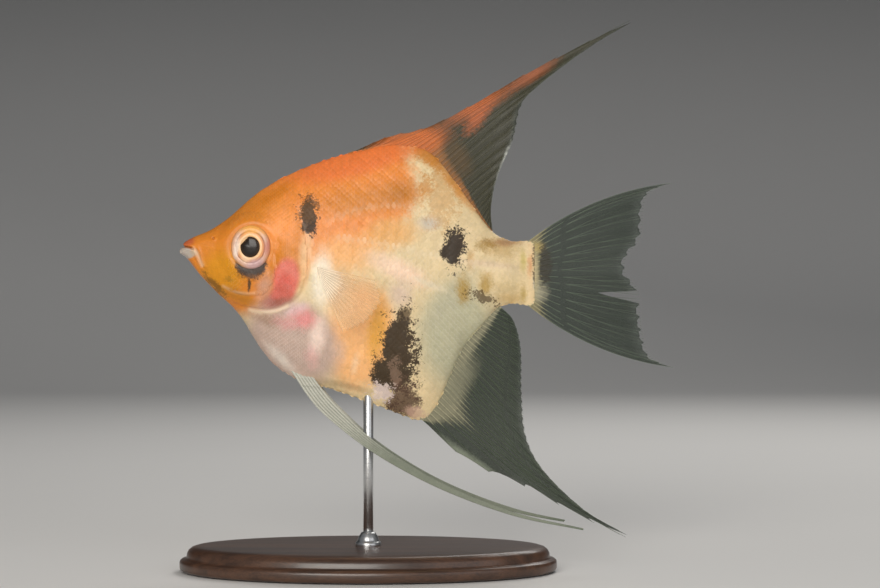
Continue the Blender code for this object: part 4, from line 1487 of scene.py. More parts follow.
def bright_lines(x: Array, z: Array) -> Array:
    """How much of a pale line, partly a painted highlight, there is at flank points.

    Args:
        x: places along the fish.
        z: their heights.

    Returns:
        Shares of 1.
    """
    found = np.zeros(np.shape(x))
    for line, width, strength in PALE_LINES_AND_HIGHLIGHTS:
        gap, share = measured(line, x, z, 3)
        found = np.maximum(found, strength * hump(gap, width) * smooth(np.minimum(share, 1 - share), 0, 0.1))
    return found


# ---- The scales ----


class Region(Enum):
    """The parts of the body that scales of one size cover."""

    FLANK = "flank"
    HEAD = "head"

    def covers(self, form: SkinForm, x: Array, z: Array) -> Array:
        """Whether scales of this region grow at flank points.

        Args:
            form: the skin's form.
            x: places along the fish.
            z: their heights.

        Returns:
            True where they do.
        """
        behind, gill, plate = (measured(line, x, z)[0] for line in (FLANK_FRONT, GILL_EDGE, FURROWS[3].line))
        fleshy = np.hypot((x - form.shoulder[0] - 1) / 1.8, (z - form.shoulder[1] + 0.4) / 2.4)
        if self is Region.FLANK:
            return (behind > 0) & (fleshy > 1) & (x < TAIL_BARE)
        bare = (form.eye_distance(x, z) < EYE_BARE) | (np.abs(gill) < np.where(z < -6, 0.9, 0.5))
        bare |= (np.abs(plate) < PLATE_BARE) | (fleshy < 1)
        jaw = (z < -5.2) & (x < 15.5) & (gill < 0) & (z < 0.5 * x - 13.2)
        snout = x <= 9.4 + 0.12 * np.abs(z)
        return (behind < -0.15) & ~(snout | bare | jaw)


TAIL_BARE = 70.1  # no scales further back than this
EYE_BARE = 5.6  # nor nearer than this to the eye's centre
PLATE_BARE = 0.32  # nor to the front gill plate's edge
FLANK_FRONT: Points = (
    (17, 15.5), (20, 12.6), (22.8, 10.2), (24.8, 6.6), (26.2, 2.8), (26.75, -1.2), (26.5, -5.2), (25.6, -9),
    (25.6, -13), (27.6, -18), (30, -23), (31.5, -29),
)


@dataclass
class Leaf:
    """One scale: a thin plate with a rounded rear edge, a unit of spacing long."""

    rows: tuple = (  # x, half width, points, and the heights of edge and crown
        (-0.45, 0.32, 3, -0.05, -0.05), (0, 0.6, 5, -0.03, 0.03), (0.45, 0.6, 5, -0.01, 0.045),
    )
    shoulder: float = 0.45
    tip: float = 0.4
    half: float = 0.6
    arc: tuple[float, ...] = (-60, 0, 60)
    rim: float = 0.01
    thick: float = 0.07

    def build(self) -> Object:
        """Makes the leaf, which the trees copy.

        Returns:
            An object with each point's leaf place and rear share stored.
        """
        points = [(x, y, edge + (crown - edge) * (1 - (y / half) ** 2))
                  for x, half, count, edge, crown in self.rows for y in np.linspace(-half, half, count)]
        points += [(self.shoulder + self.tip * math.cos(turn), self.half * math.sin(turn), self.rim)
                   for turn in np.radians(self.arc)]
        faces = [(0, 3, 4), (0, 4, 5, 1), (1, 5, 6, 2), (2, 6, 7)]
        faces += [(3 + j, 8 + j, 9 + j, 4 + j) for j in range(4)]
        faces += [(8, 13, 9), (9, 13, 14, 10), (10, 14, 11), (11, 14, 15), (11, 15, 12)]
        outline, under = [0, 1, 2, 7, 12, 15, 14, 13, 8, 3], len(points)
        sides = list(zip(outline, outline[1:] + outline[:1]))
        points += [(points[i][0], points[i][1], points[i][2] - self.thick) for i in outline]
        faces.append(list(range(under, under + len(outline))))
        faces += [(b, under + (i + 1) % len(outline), under + i, a) for i, (a, b) in enumerate(sides)]
        made, place = mesh_object("leaf", points, faces), np.array(points)
        set_values(made.data, "leaf", np.stack([place[:, 0] / 1.3, place[:, 1] / 1.3, 0 * place[:, 0]], axis=1))
        set_values(made.data, "rear", smooth(np.hypot(place[:, 0], place[:, 1]), 0.2, 0.85) * (place[:, 0] > 0.2))
        ring = {frozenset(pair) for pair in sides}
        for edge in made.data.edges:
            edge.use_edge_sharp = frozenset(edge.vertices) in ring
        return outward_faces(made)


@dataclass
class ScaleField:
    """The scales of one region of one side, rooted on the skin in offset columns."""

    skin: Skin
    region: Region
    side: Side
    leaf: Object
    tree: Tree
    spacing: float
    finish: ScaleFinish = ScaleFinish()
    lift: float = 2.8  # degrees by which each scale's rear edge stands up
    lift_wobble: float = 0.8
    turn_wobble: float = 2.5  # degrees
    size_wobble: float = 0.03
    ridge_size: float = 0.62  # of a scale on the ridges of back and belly, as a share of the others'
    slot: str = "skin_orange"

    def _roots(self) -> tuple[Array, Array]:
        """Sets the roots out in columns that start from the widest level.

        Returns:
            Their x, and their shares of the way up the section.
        """
        body = self.skin.form.body
        columns = np.arange(self.skin.start + 8, body.length - 0.4, self.spacing / 2)
        run, middle = self.skin.form.girth(columns)
        x, share = [], []
        for i, (place, total, level) in enumerate(zip(columns, run[:, -1], middle)):
            first = (level / self.spacing + 0.5 * (i % 2)) % 1
            found = np.arange(first * self.spacing, total - 0.2, self.spacing) / total
            x.append(np.full(len(found), place))
            share.append(found)
        return np.concatenate(x), np.concatenate(share)

    def _turns(self, x: Array, rise: Array, broad: Array, chance: np.random.Generator) -> Array:
        """Lays each scale on the skin with its rear edge to the tail.

        Args:
            x: places of the roots.
            rise: their angles up the section.
            broad: how far each is from the ridges, 0 to 1.
            chance: the source of random numbers.

        Returns:
            Euler angles.
        """
        form = self.skin.form
        normal, tangent = form.body.outward(form.place, x, rise, np.full(len(x), float(self.side.value)))
        wobble = np.radians(chance.normal(0, self.turn_wobble, len(x)))[:, None]
        across = np.cross(normal, tangent)
        along = tangent * np.cos(wobble) + across * np.sin(wobble)
        lift = np.radians((self.lift + chance.normal(0, self.lift_wobble, len(x))) * broad)[:, None]
        front, up = along * np.cos(lift) + normal * np.sin(lift), normal * np.cos(lift) - along * np.sin(lift)
        across = np.cross(up, front)
        pitch = -np.arcsin(np.clip(front[:, 2], -1, 1))
        return np.stack([np.arctan2(across[:, 2], up[:, 2]), pitch, np.arctan2(front[:, 1], front[:, 0])], axis=1)

    def build(self) -> None:
        """Grows the scales."""
        form, side = self.skin.form, float(self.side.value)
        chance = np.random.default_rng(SEED + 10 * self.side.value + len(self.region.value))
        x, share = self._roots()
        rise = form.rises(x, share[:, None])[:, 0]
        points = form.place(x, rise, np.full(len(x), side))
        kept = self.region.covers(form, points[:, 0], points[:, 2])
        x, share, rise, points = x[kept], share[kept], rise[kept], points[kept]
        made = mesh_object(f"scales_{self.region.value}_{self.side.word}", FISH.world(points), [])
        v = share / 2 if self.side is Side.RIGHT else 1 - share / 2
        broad = smooth(np.abs(points[:, 1]), 0.3, 3.2)
        set_values(made.data, "turn", self._turns(x, rise, broad, chance))
        size = self.spacing * (self.ridge_size + (1 - self.ridge_size) * broad)
        set_values(made.data, "size", size * chance.normal(1, self.size_wobble, len(x)))
        set_values(made.data, "tone", chance.random(len(x)))
        # where the pale lines run, partly painted highlights
        set_values(made.data, "bright", bright_lines(points[:, 0], points[:, 2]))
        set_values(made.data, "root", np.stack([self.skin.atlas(x), v, 0 * v], axis=1))
        settings = {"Leaf": self.leaf, "Finish": self.finish.material(), "Unit": MM, "Patch": PATCH}
        made = run_tree(made, self.tree, settings)
        for spare in ("turn", "size", "root"):
            made.data.attributes.remove(made.data.attributes[spare])
        place_piece(made, self.slot)


# ---- The eyes ----


@dataclass
class Eye:
    """One eye in its socket: a ringed iris and a black lens that stands a little out of it."""

    form: SkinForm
    side: Side
    iris_finish: EyeFinish = EyeFinish()
    pupil_finish: PupilFinish = PupilFinish()
    stretch: Pair = (1.06, 0.975)  # the eye is taller than it is wide
    iris: Points = (
        (1.6, -1.8), (3.6, -1.6), (4.1, -1.1), (4.2, -0.7), (4.17, -0.3), (4.08, -0.05), (3.95, 0.12),
        (3.75, 0.28), (3.5, 0.39), (3.3, 0.43), (3.2, 0.42), (3.1, 0.39), (3.02, 0.41), (2.92, 0.48), (2.7, 0.55),
        (2.4, 0.61), (2.2, 0.63), (2.08, 0.61), (2, 0.54), (1.9, 0.42), (1, 0.4),
    )
    lens: Points = (
        (1, 0.3), (1.86, 0.34), (1.96, 0.46), (1.93, 0.56), (1.82, 0.66), (1.62, 0.75),
        (1.3, 0.83), (0.9, 0.89), (0.45, 0.92), (0.15, 0.93),
    )
    lens_stretch: Pair = (1.06, 1.02)
    sunk: float = 0.04  # how far the axis's foot lies under the flat
    chord: float = 0.84  # where the pupil's upper front is cut flat, as a share of its radius
    chord_turn: float = 135  # degrees from the tail, over the top

    def _flattened(self, obj: Object, foot: Array) -> None:
        """Draws the pupil in at its upper front, where angelfish pupils are flat.

        Args:
            obj: the lens.
            foot: the foot of the eye's axis.
        """
        for point in obj.data.vertices:
            off = np.array(point.co) - foot
            facing = math.cos(math.atan2(off[2], off[0]) - math.radians(self.chord_turn))
            factor = min(1, self.chord / max(facing, 0.01))
            point.co.x, point.co.z = foot[0] + off[0] * factor, foot[2] + off[2] * factor

    def build(self) -> None:
        """Makes the iris and the lens."""
        form, sign, node = self.form, self.side.value, f"eye_{self.side.word}"
        foot = FISH.world((form.eye_x, sign * (form.eye_level - self.sunk), form.eye_z))
        axis = np.array([-form.eye_slope, float(sign), 0])
        iris = turned(f"{node}_iris", self.iris, foot, axis, (0, 0, 1), 96, self.stretch)
        lens = turned(f"{node}_lens", self.lens, foot, axis, (0, 0, 1), 72, self.lens_stretch)
        self._flattened(lens, foot)
        place_piece(iris, "eye", [node], self.iris_finish)
        place_piece(lens, "eye", (), self.pupil_finish)


# ---- The fins ----


def bent(foot: Array, tip: Array, bow: Array, t: Array) -> Array:
    """Points of rays that bow to one side.

    Args:
        foot: their (x, z) roots.
        tip: their ends.
        bow: how far each stands off at its middle, as a share of its length.
        t: parts of the way along.

    Returns:
        The (x, z) points.
    """
    along, t = tip - foot, t[..., None]
    middle = foot + along / 2 + bow[..., None] * np.stack([-along[..., 1], along[..., 0]], axis=-1)
    return (1 - t) ** 2 * foot + 2 * t * (1 - t) * middle + t**2 * tip


@dataclass
class Fin:
    """A fan of rays with a thin membrane between them.

    A place on the fan is a share, from its first ray to its last, and t, from the body at 0 to the ray's tip at 1.
    """

    node: str
    slot: str
    membrane: FinFinish
    rays: FinFinish
    tree: Tree
    spines: int = 0
    spine_end: float = 0  # the share where the stiff spines end and the branching rays start
    soft: int = 12
    thick: float = 0.055  # half the membrane's thickness at the body
    ray_thick: float = 0.14  # a ray's radius at the body
    ray_thin: float = 0.045
    rim: float = 0.995  # the t of the edge at a ray
    notch: float = 0.02  # how far the edge draws in between rays
    spine_notch: float = 0.1
    carried: float = 1.5  # how far the roots go into the body
    steps: int = 36
    fineness: int = 4  # columns of membrane for each gap between rays
    forks: tuple[float, ...] = (0.45, 0.72)
    fork_spread: Pair = (0.23, 0.11)  # how far branches part at each fork, as shares of the gap
    fork_thick: Pair = (0.8, 0.65)  # their thickness after each, as shares of the stem's
    pleat: float = 0.03

    def line(self, share: Array, t: Array) -> Array:
        """The (x, z) point at a place on the fan, for t from 0 to 1."""
        raise NotImplementedError

    def across(self, flat: Array, t: Array) -> Array:
        """The y of the fan's points."""
        raise NotImplementedError

    def starts(self) -> Array:
        """The shares of all rays, spines first."""
        spines = self.spine_end * np.arange(self.spines) / max(self.spines, 1)
        return np.concatenate([spines, np.linspace(self.spine_end, 1, self.soft)])

    def gaps(self, share: Array) -> tuple[Array, Array]:
        """Finds shares among the rays.

        Args:
            share: shares of the fan.

        Returns:
            The number of the gap that each is in, and a bulge of height 1 across the gap.
        """
        starts = self.starts()
        i = np.clip(np.searchsorted(starts, share, side="right") - 1, 0, len(starts) - 2)
        between = (share - starts[i]) / (starts[i + 1] - starts[i])
        return i, 4 * between * (1 - between)

    def place(self, share: Array, t: Array) -> Array:
        """Points of the fan's middle sheet.

        Args:
            share: shares of the fan.
            t: parts of the way out; below 0 they go into the body.

        Returns:
            (x, y, z) points.
        """
        share, t = np.broadcast_arrays(np.asarray(share, float), np.asarray(t, float))
        above = np.clip(t, 0, None)
        flat = self.line(share, above)
        start = self.line(share, 0 * t)
        back = start - self.line(share, 0 * t + 0.05)
        back /= np.linalg.norm(back, axis=-1, keepdims=True) + 1e-9
        flat = flat + back * (self.carried * np.clip(-t, 0, None))[..., None]
        return np.stack([flat[..., 0], self.across(flat, above), flat[..., 1]], axis=-1)

    def edge(self, share: Array) -> Array:
        """The membrane's outer edge, which draws in between rays.

        Args:
            share: shares of the fan.

        Returns:
            The t of the edge.
        """
        _, bulge = self.gaps(share)
        return self.rim - np.where(share < self.spine_end, self.spine_notch, self.notch) * bulge

    def _membrane(self) -> Object:
        """Makes the thin closed sheet between the rays.

        Returns:
            The membrane, each point's place on the fan stored as fan.
        """
        starts = self.starts()
        share = np.unique(np.concatenate([np.linspace(a, b, self.fineness + 1) for a, b in zip(starts, starts[1:])]))
        t = np.concatenate([[-1, -0.4], np.linspace(0, 1, self.steps)])
        t = np.where(t > 0, t * self.edge(share)[:, None], t)
        middle, out = self.place(share[:, None], t), np.clip(t, 0, 1)
        i, bulge = (found[:, None] for found in self.gaps(share))
        middle[..., 1] += self.pleat * bulge * np.where(i % 2, 1, -1) * out
        half = self.thick * (1 - 0.72 * out) * (1 - 0.3 * bulge)
        values = np.stack(np.broadcast_arrays(t, share[:, None], 0), axis=-1)
        shift = np.stack([0 * half, half, 0 * half], axis=-1)
        rows, columns = half.shape
        sheet, count = grid_faces(rows, columns), rows * columns
        rim = [*range(columns), *[i * columns + columns - 1 for i in range(1, rows)],
               *[count - 1 - j for j in range(1, columns)], *[i * columns for i in range(rows - 2, 0, -1)]]
        faces = [*sheet, *[tuple(count + i for i in face[::-1]) for face in sheet]]
        faces += [(b, a, count + a, count + b) for a, b in zip(rim, rim[1:] + rim[:1])]
        points = np.concatenate([(middle + way * shift).reshape(-1, 3) for way in (1, -1)])
        made = mesh_object(f"{self.node}_membrane", FISH.world(points), faces)
        set_values(made.data, "fan", np.tile(values.reshape(-1, 3), (2, 1)))
        return outward_faces(made)

    def _strands(self) -> list[tuple[Array, Array, Array]]:
        """Lays out every line of ray, with the forks of the soft ones.

        Returns:
            The share, t and thickness along each line.
        """
        starts, found = self.starts(), []
        t = np.linspace(-0.8, 1, self.steps)
        taper = self.ray_thick + (self.ray_thin - self.ray_thick) * np.clip(t, 0, 1) ** 0.7
        for i, start in enumerate(starts):
            if i < self.spines:
                found.append((start + 0 * t, t, 1.15 * taper * (1 - 0.4 * np.clip(t, 0, 1) ** 4)))
            elif start in (0, 1):
                found.append((start + 0 * t, t, taper))
            else:
                gap = min(abs(start - other) for other in starts[max(self.spines, i - 1):i + 2] if other != start)
                found += self._forked(start, gap, t, taper)
        return found

    def _forked(self, start: float, gap: float, t: Array, taper: Array) -> list[tuple[Array, Array, Array]]:
        """Divides a soft ray twice.

        Args:
            start: its share of the fan.
            gap: the share between it and the next ray.
            t: parts of the way along it.
            taper: its thickness there.

        Returns:
            The share, t and thickness along the stem and each branch.
        """
        first, second = self.forks
        stem, part, rest = t <= first, (t > first - 0.03) & (t <= second), t > second - 0.02
        strands = [(start + 0 * t[stem], t[stem], taper[stem])]
        for one in (-1, 1):
            off = one * gap * self.fork_spread[0] * smooth(t, first - 0.04, second + 0.1)
            strands.append((start + off[part], t[part], self.fork_thick[0] * taper[part]))
            for two in (-1, 1):
                far = off + two * gap * self.fork_spread[1] * smooth(t, second - 0.03, 1.05)
                strands.append((start + far[rest], t[rest], self.fork_thick[1] * taper[rest]))
        return strands

    def _rays(self) -> Object:
        """Makes the rays, as round tapering lines.

        Returns:
            The rays, one piece.
        """
        points, edges, thickness, values = [], [], [], []
        for share, t, thick in self._strands():
            first = sum(len(some) for some in points)
            points.append(self.place(share, t))
            edges += [(first + k, first + k + 1) for k in range(len(t) - 1)]
            thickness.append(thick * MM)
            values.append(np.stack([t, share, 0 * t], axis=1))
        made = mesh_object(f"{self.node}_rays", FISH.world(np.vstack(points)), [], edges)
        set_values(made.data, "thickness", np.concatenate(thickness))
        set_values(made.data, "fan", np.vstack(values))
        made = run_tree(made, self.tree, {"Finish": self.rays.material(), "Sides": 6})
        made.data.attributes.remove(made.data.attributes["thickness"])
        return made

    def build(self) -> None:
        """Makes the membrane and its rays."""
        place_piece(self._membrane(), self.slot, [self.node], self.membrane)
        place_piece(self._rays(), self.slot)


def swayed(flat: Array, sway: tuple[float, float, float, float]) -> Array:
    """How far a fin bends to one side: still_x, still_z, reach and the shift at that distance."""
    still_x, still_z, reach, shift = sway
    return shift * (np.hypot(flat[..., 0] - still_x, flat[..., 1] - still_z) / reach) ** 2


@dataclass
class MedianFin(Fin):
    """The dorsal or the anal fin: rays whose tips run up its front edge, out to a streamer and back."""

    body: BodyForm = field(default_factory=BodyForm)
    upper: bool = True
    root: Pair = (35, 62.9)
    leading: Points = ()
    trailing: Points = ()
    sway: tuple[float, float, float, float] = (48, 20, 51, 1.6)
    peak: float = 0.4  # the share of the ray that reaches the streamer's tip
    spread: Pair = (1.8, 0.49)  # how the tips crowd along the front and rear edges
    bows: Points = ()  # (share, bow) pairs

    def __post_init__(self) -> None:
        """Draws the ridge that the fin stands on and its two edges."""
        x = np.linspace(*self.root, 17)
        outline = self.body.back if self.upper else self.body.belly
        self.ridge = curve(list(zip(x, outline(x))))
        self.front = curve([tuple(self.ridge(0)), *self.leading])
        self.rear = curve([tuple(self.ridge(1)), *self.trailing])

    def line(self, share: Array, t: Array) -> Array:
        """Places on the fan.

        Args:
            share: shares of the fan.
            t: parts of the way out.

        Returns:
            (x, z) points.
        """
        ahead = np.clip(share / self.peak, 0, 1) ** self.spread[0]
        behind = np.clip((share - self.peak) / (1 - self.peak), 0, 1) ** self.spread[1]
        tip = np.where((share < self.peak)[..., None], self.front(0.03 + 0.97 * ahead), self.rear(1 - 0.97 * behind))
        bow = np.interp(share, *np.array(self.bows).T) * (1 if self.upper else -1)
        return bent(self.ridge(share), tip, bow, t)

    def across(self, flat: Array, t: Array) -> Array:
        """The sway, with a slow ripple towards the tips."""
        return swayed(flat, self.sway) + 0.25 * np.sin(0.22 * flat[..., 0] + 0.11 * flat[..., 1]) * t**2


@dataclass
class TailFin(Fin):
    """The caudal fin, with a deep split between two of its rays."""

    top: float = 2.3
    bottom: float = -11
    start: float = 70.6
    bow: float = 0.137
    rear_line: Points = (
        (99.3, 13.9), (95.2, 12.3), (93.6, 9.3), (93, 3), (90.2, -0.8), (89.9, -4.2), (92.5, -8),
        (93, -13.9), (93.9, -18.6), (95.3, -21.5), (99.5, -23.3),
    )
    sway: tuple[float, float, float, float] = (70.3, -4.3, 34, 0.9)
    split: tuple[float, float, float] = (0.618, 0.028, 0.62)  # its share, half width, and the t it reaches down to

    def __post_init__(self) -> None:
        """Draws the rear edge."""
        self.rear = curve(self.rear_line)

    def line(self, share: Array, t: Array) -> Array:
        """The (x, z) point at a place on the fan."""
        foot = np.stack([self.start + 0 * share, self.top + (self.bottom - self.top) * share], axis=-1)
        return bent(foot, self.rear(share), self.bow * (1 - 2 * share), t)

    def across(self, flat: Array, t: Array) -> Array:
        """The sway, with a slow ripple down the fin."""
        return swayed(flat, self.sway) + 0.3 * np.sin(0.3 * flat[..., 1]) * t**2

    def edge(self, share: Array) -> Array:
        """The membrane's edge, with the split and a ragged rim.

        Args:
            share: shares of the fan.

        Returns:
            The t of the edge.
        """
        centre, half, depth = self.split
        off = np.abs(share - centre)
        slit = np.where(off < half, depth + (1 - depth) * (off / half) ** 1.4, 1)
        ragged = 0.006 * np.sin(97 * share) + 0.006 * np.sin(231 * share + 1)
        return np.minimum(super().edge(share) + ragged, slit)


@dataclass
class PectoralFin(Fin):
    """A small clear fan that stands off the flank."""

    side: Side = Side.LEFT
    shoulder: Pair = (29.2, -5.2)
    half: float = 1.8
    turns: Pair = (-13, -65)
    reach: Points = ((0, 10.8), (0.25, 13.2), (0.6, 12.2), (1, 9.8))
    off: float = 6.9  # of the root from the midplane
    flare: float = 4.6

    def line(self, share: Array, t: Array) -> Array:
        """Places on the fan.

        Args:
            share: shares of the fan.
            t: parts of the way out.

        Returns:
            (x, z) points.
        """
        turn = np.radians(self.turns[0] + (self.turns[1] - self.turns[0]) * share)
        run = t * np.interp(share, *np.array(self.reach).T)
        x = self.shoulder[0] + run * np.cos(turn)
        return np.stack([x, self.shoulder[1] + self.half * (1 - 2 * share) + run * np.sin(turn)], axis=-1)

    def across(self, flat: Array, t: Array) -> Array:
        """The flare away from the flank."""
        return self.side.value * (self.off + self.flare * t**1.3)


@dataclass
class PelvicFin(Fin):
    """A long feeler: a spine and a few soft rays that run together to a thread."""

    side: Side = Side.LEFT
    lower: Points = (
        (23.5, -25), (26.5, -29.4), (30.2, -33.3), (39.4, -40.3), (52.4, -47.3), (67.2, -52.7), (81, -55.5),
    )
    upper: Points = (
        (26.9, -25.5), (28.7, -27.8), (32, -31.5), (40.4, -39), (52.8, -46.5), (67.35, -52.2), (81.05, -55.3),
    )
    off: float = 1.8
    flare: float = 3.4
    reach: float = 1  # the share of the whole length that this feeler has

    def __post_init__(self) -> None:
        """Draws the two edges."""
        self.edges = curve(self.lower), curve(self.upper)

    def line(self, share: Array, t: Array) -> Array:
        """The (x, z) point at a place on the feeler."""
        low, high = (edge(t * self.reach) for edge in self.edges)
        return low + (high - low) * share[..., None]

    def across(self, flat: Array, t: Array) -> Array:
        """The gap between the two feelers, which widens to the tips."""
        return self.side.value * (self.off * (0.6 + 0.4 * smooth(t, 0, 0.04)) + self.flare * t)


# ---- The stand ----


@dataclass
class Stand:
    """A moulded oval base, a turned collar and a rod that goes up into the belly."""

    wood: WoodFinish = WoodFinish()
    steel: SteelFinish = SteelFinish()
    parts: int = 160  # points round the base
    moulding: Points = (  # (inset from the rim, height) in millimetres, from the underside to the top
        (8, 0), (1.2, 0), (0.5, 0.1), (0.12, 0.4), (0, 0.8), (0, 1.7), (0.08, 2.1), (0.4, 2.4),
        (1.1, 2.55), (1.35, 2.7), (1.42, 3), (1.5, 3.6), (1.8, 4.2), (2.4, 4.7), (3.2, 4.94), (3.9, 5),
        (6, 5), (12, 5), (18, 5),
    )
    collar: Points = (  # (radius, height over the base)
        (1.2, -0.25), (2.5, -0.25), (2.58, 0), (2.6, 0.35), (2.55, 0.7), (2.35, 0.85), (2.2, 1), (2.1, 1.4),
        (1.9, 1.9), (1.6, 2.35), (1.45, 2.6), (1.3, 2.7), (1, 2.72), (0.9, 2.72),
    )

    def _base(self) -> Object:
        """Makes the oval base, its moulding the same width all round.

        Returns:
            The base.
        """
        low, high = (np.array(corner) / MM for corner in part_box("stand_base"))
        halves, foot = (high - low) / 2, np.array([*(low + high)[:2] / 2, low[2]])
        angle = np.linspace(0, math.tau, self.parts, endpoint=False)
        ring = np.stack([np.cos(angle), np.sin(angle), 0 * angle], axis=1)
        rings = [foot + ring * (halves[0] - inset, halves[1] - inset, 0) + (0, 0, height)
                 for inset, height in self.moulding]
        ends = [foot + (0, 0, self.moulding[i][1]) for i in (0, -1)]
        return outward_faces(ring_body("stand_base_wood", np.array(rings) * MM, np.array(ends) * MM))

    def build(self) -> None:
        """Makes base, collar and rod."""
        base = self._base()
        low, high = (np.array(corner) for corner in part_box("stand_rod"))
        foot = np.array([*(low + high)[:2] / 2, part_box("stand_base")[1].z])
        radius, top = (high - low)[0] / 2 / MM, (high[2] - foot[2]) / MM
        rod_rows = [(0.7 * radius, 0), (radius, 0.1), (radius, 0.5 * top), (radius, top - 0.3), (0.7 * radius, top)]
        collar = turned("stand_collar_steel", self.collar, foot, (0, 0, 1), (1, 0, 0), 72)
        rod = turned("stand_rod_steel", rod_rows, foot, (0, 0, 1), (1, 0, 0), 40)
        for piece, finish, slot in (
            (base, self.wood, "stand_wood"), (collar, self.steel, "stand_steel"), (rod, self.steel, "stand_steel"),
        ):
            place_piece(piece, slot, [piece.name.rsplit("_", 1)[0]], finish)


# ---- The studio ----


@dataclass(frozen=True)
class SoftLight:
    """One square soft light, aimed at the fish."""

    name: str
    place: tuple[float, float, float]
    watts: float
    size: float
    colour: Colour = (1, 1, 1)

    def build(self, target: Array) -> None:
        """Hangs the light and aims it.

        Args:
            target: the point it shines at.
        """
        lamp = bpy.data.lights.new(self.name, "AREA")
        lamp.energy, lamp.size, lamp.color = self.watts, self.size, self.colour
        made = new_object(self.name, lamp)
        made.location = self.place
        made.rotation_euler = Vector(target - np.array(self.place)).to_track_quat("-Z", "Y").to_euler()


@dataclass
class Studio:
    """A pale floor that curves up to a grey wall, soft lights and the camera."""

    finish: StudioFinish = StudioFinish()
    lens: float = 90
    camera: tuple[float, float, float] = (0.0027, -0.4436, 0.0557)
    half_width: float = 3.2
    near: float = -1.3
    bend: float = 0.8  # y where the floor starts to curve up
    bend_radius: float = 0.45
    height: float = 2.2
    sky: Colour = (0.84, 0.86, 0.9)
    sky_strength: float = 0.2
    lights: tuple[SoftLight, ...] = (
        SoftLight("key light", (-0.15, -0.62, 0.26), 3.3, 0.36, (1, 0.96, 0.9)),
        SoftLight("fill light", (0.45, -0.5, 0.26), 0.7, 0.5, (0.98, 0.98, 1)),
        SoftLight("back light", (0.2, 0.45, 0.55), 2, 0.4, (1, 0.98, 0.95)),
    )

    def _sweep(self) -> None:
        """The floor and wall, one smooth sheet of card."""
        turn = np.linspace(0, math.pi / 2, 25)
        y = [self.near, 0, *(self.bend + self.bend_radius * np.sin(turn)), self.bend + self.bend_radius]
        z = [0, 0, *(self.bend_radius * (1 - np.cos(turn))), self.height]
        rows = [[(x, a, b - 0.0002) for x in np.linspace(-self.half_width, self.half_width, 9)] for a, b in zip(y, z)]
        made = mesh_object("studio_card", np.array(rows).reshape(-1, 3), grid_faces(len(rows), 9))
        made.data.materials.append(self.finish.material())

    def build(self) -> None:
        """Sets up card, even light from all round, lights and camera."""
        self._sweep()
        world = bpy.data.worlds.new("studio air")
        world.use_nodes = True
        air = world.node_tree.nodes["Background"].inputs
        air["Color"].default_value, air["Strength"].default_value = (*self.sky, 1), self.sky_strength
        bpy.context.scene.world = world
        low, high = CAD_BOX
        target = (np.array(low) + np.array(high)) / 2
        for light in self.lights:
            light.build(target)
        lens = bpy.data.cameras.new("camera")
        lens.lens, lens.sensor_width = self.lens, 36
        camera = new_object("camera", lens)
        camera.location, camera.rotation_euler = self.camera, (math.pi / 2, 0, 0)
        bpy.context.scene.camera = camera
        bpy.context.scene.view_settings.view_transform = "Standard"


# ---- The whole ----


DORSAL_PATCHES = patches(
    # The orange of the back carried into the fin's foot, the pink front band, and red streaks along its rays
    ((0.46, 0.105, 0.006), 46, 21.6, 11, 4.4, -14, 0.6, 0.3, 0.95),
    ((0.38, 0.09, 0.012), 60, 29.6, 12, 3, -29, 0.9, 0.4, 0.9),
    ((0.34, 0.09, 0.026), 71, 35.8, 9, 2, -33, 0.9, 0.4, 0.8),
    ((0.46, 0.11, 0.025), 60, 27, 2.2, 6, 38, 0.9, 1.2, 0.75),
    ((0.07, 0.04, 0.008), 56, 18.9, 3.6, 6.2, -24, 0.8, 0.4, 0.95),
)
TRAILING_EDGE = Patch((0.8, 0.82, 0.76), 65.2, 16.8, 0.95, 7, 18.5, 0.9, 0.8, 0.95)
DORSAL_MEMBRANE = FinFinish(
    "dorsal membrane", (0.032, 0.031, 0.012), (0.22, 0.09, 0.02), (0.045, 0.052, 0.038),
    (*DORSAL_PATCHES, TRAILING_EDGE), 0.98, 0.8, 0.66, 0.1, 26,
)
DORSAL_RAYS = FinFinish(
    "dorsal rays", (0.06, 0.058, 0.031), (0.34, 0.14, 0.035), (0.15, 0.16, 0.13),
    (*(replace(one, colour=tuple(min(1, 1.3 * v + 0.03) for v in one.colour)) for one in DORSAL_PATCHES),
     TRAILING_EDGE),
    1, 0.94, 0.88, bands=0.06, roughness=0.34,
)
SMOKY_PATCHES = patches(
    ((0.25, 0.28, 0.21), 60, -43, 16, 1.6, 36, 0.9, 0.5, 0.85),
    ((0.19, 0.185, 0.12), 57, -26, 8, 3.2, -60, 0.9, 0.5, 0.8),
)
SMOKY_MEMBRANE = FinFinish(
    "anal membrane", (0.022, 0.032, 0.018), (0.2, 0.19, 0.12), (0.036, 0.048, 0.034), SMOKY_PATCHES, 0.97, 0.78,
    0.6, 0.1, 26, root_share=0.2,
)
SMOKY_RAYS = FinFinish(
    "anal rays", (0.076, 0.098, 0.062), (0.34, 0.32, 0.21), (0.13, 0.15, 0.11), SMOKY_PATCHES, 1, 0.92, 0.88,
    bands=0.06, root_share=0.26, roughness=0.34,
)
TAIL_PATCHES = patches(
    ((0.44, 0.33, 0.11), 72.2, 0.9, 2.2, 1.8, 0, 0.9, 0.9, 0.8),
    ((0.42, 0.39, 0.27), 72.6, -8, 2.6, 3.6, 0, 0.9, 0.9, 0.7),
    ((0.04, 0.035, 0.022), 73.7, -2.8, 1.4, 4.6, 0, 0.3, 2.6, 0.9),
    ((0.5, 0.42, 0.24), 71.6, -4, 1.2, 6.6, 0, 0.9, 1, 0.85),
)
TAIL_MEMBRANE = FinFinish(
    "tail membrane", (0.03, 0.042, 0.03), (0.22, 0.19, 0.1), (0.055, 0.07, 0.056), TAIL_PATCHES, 0.94, 0.68, 0.56,
    0.1, 17, root_share=0.13,
)
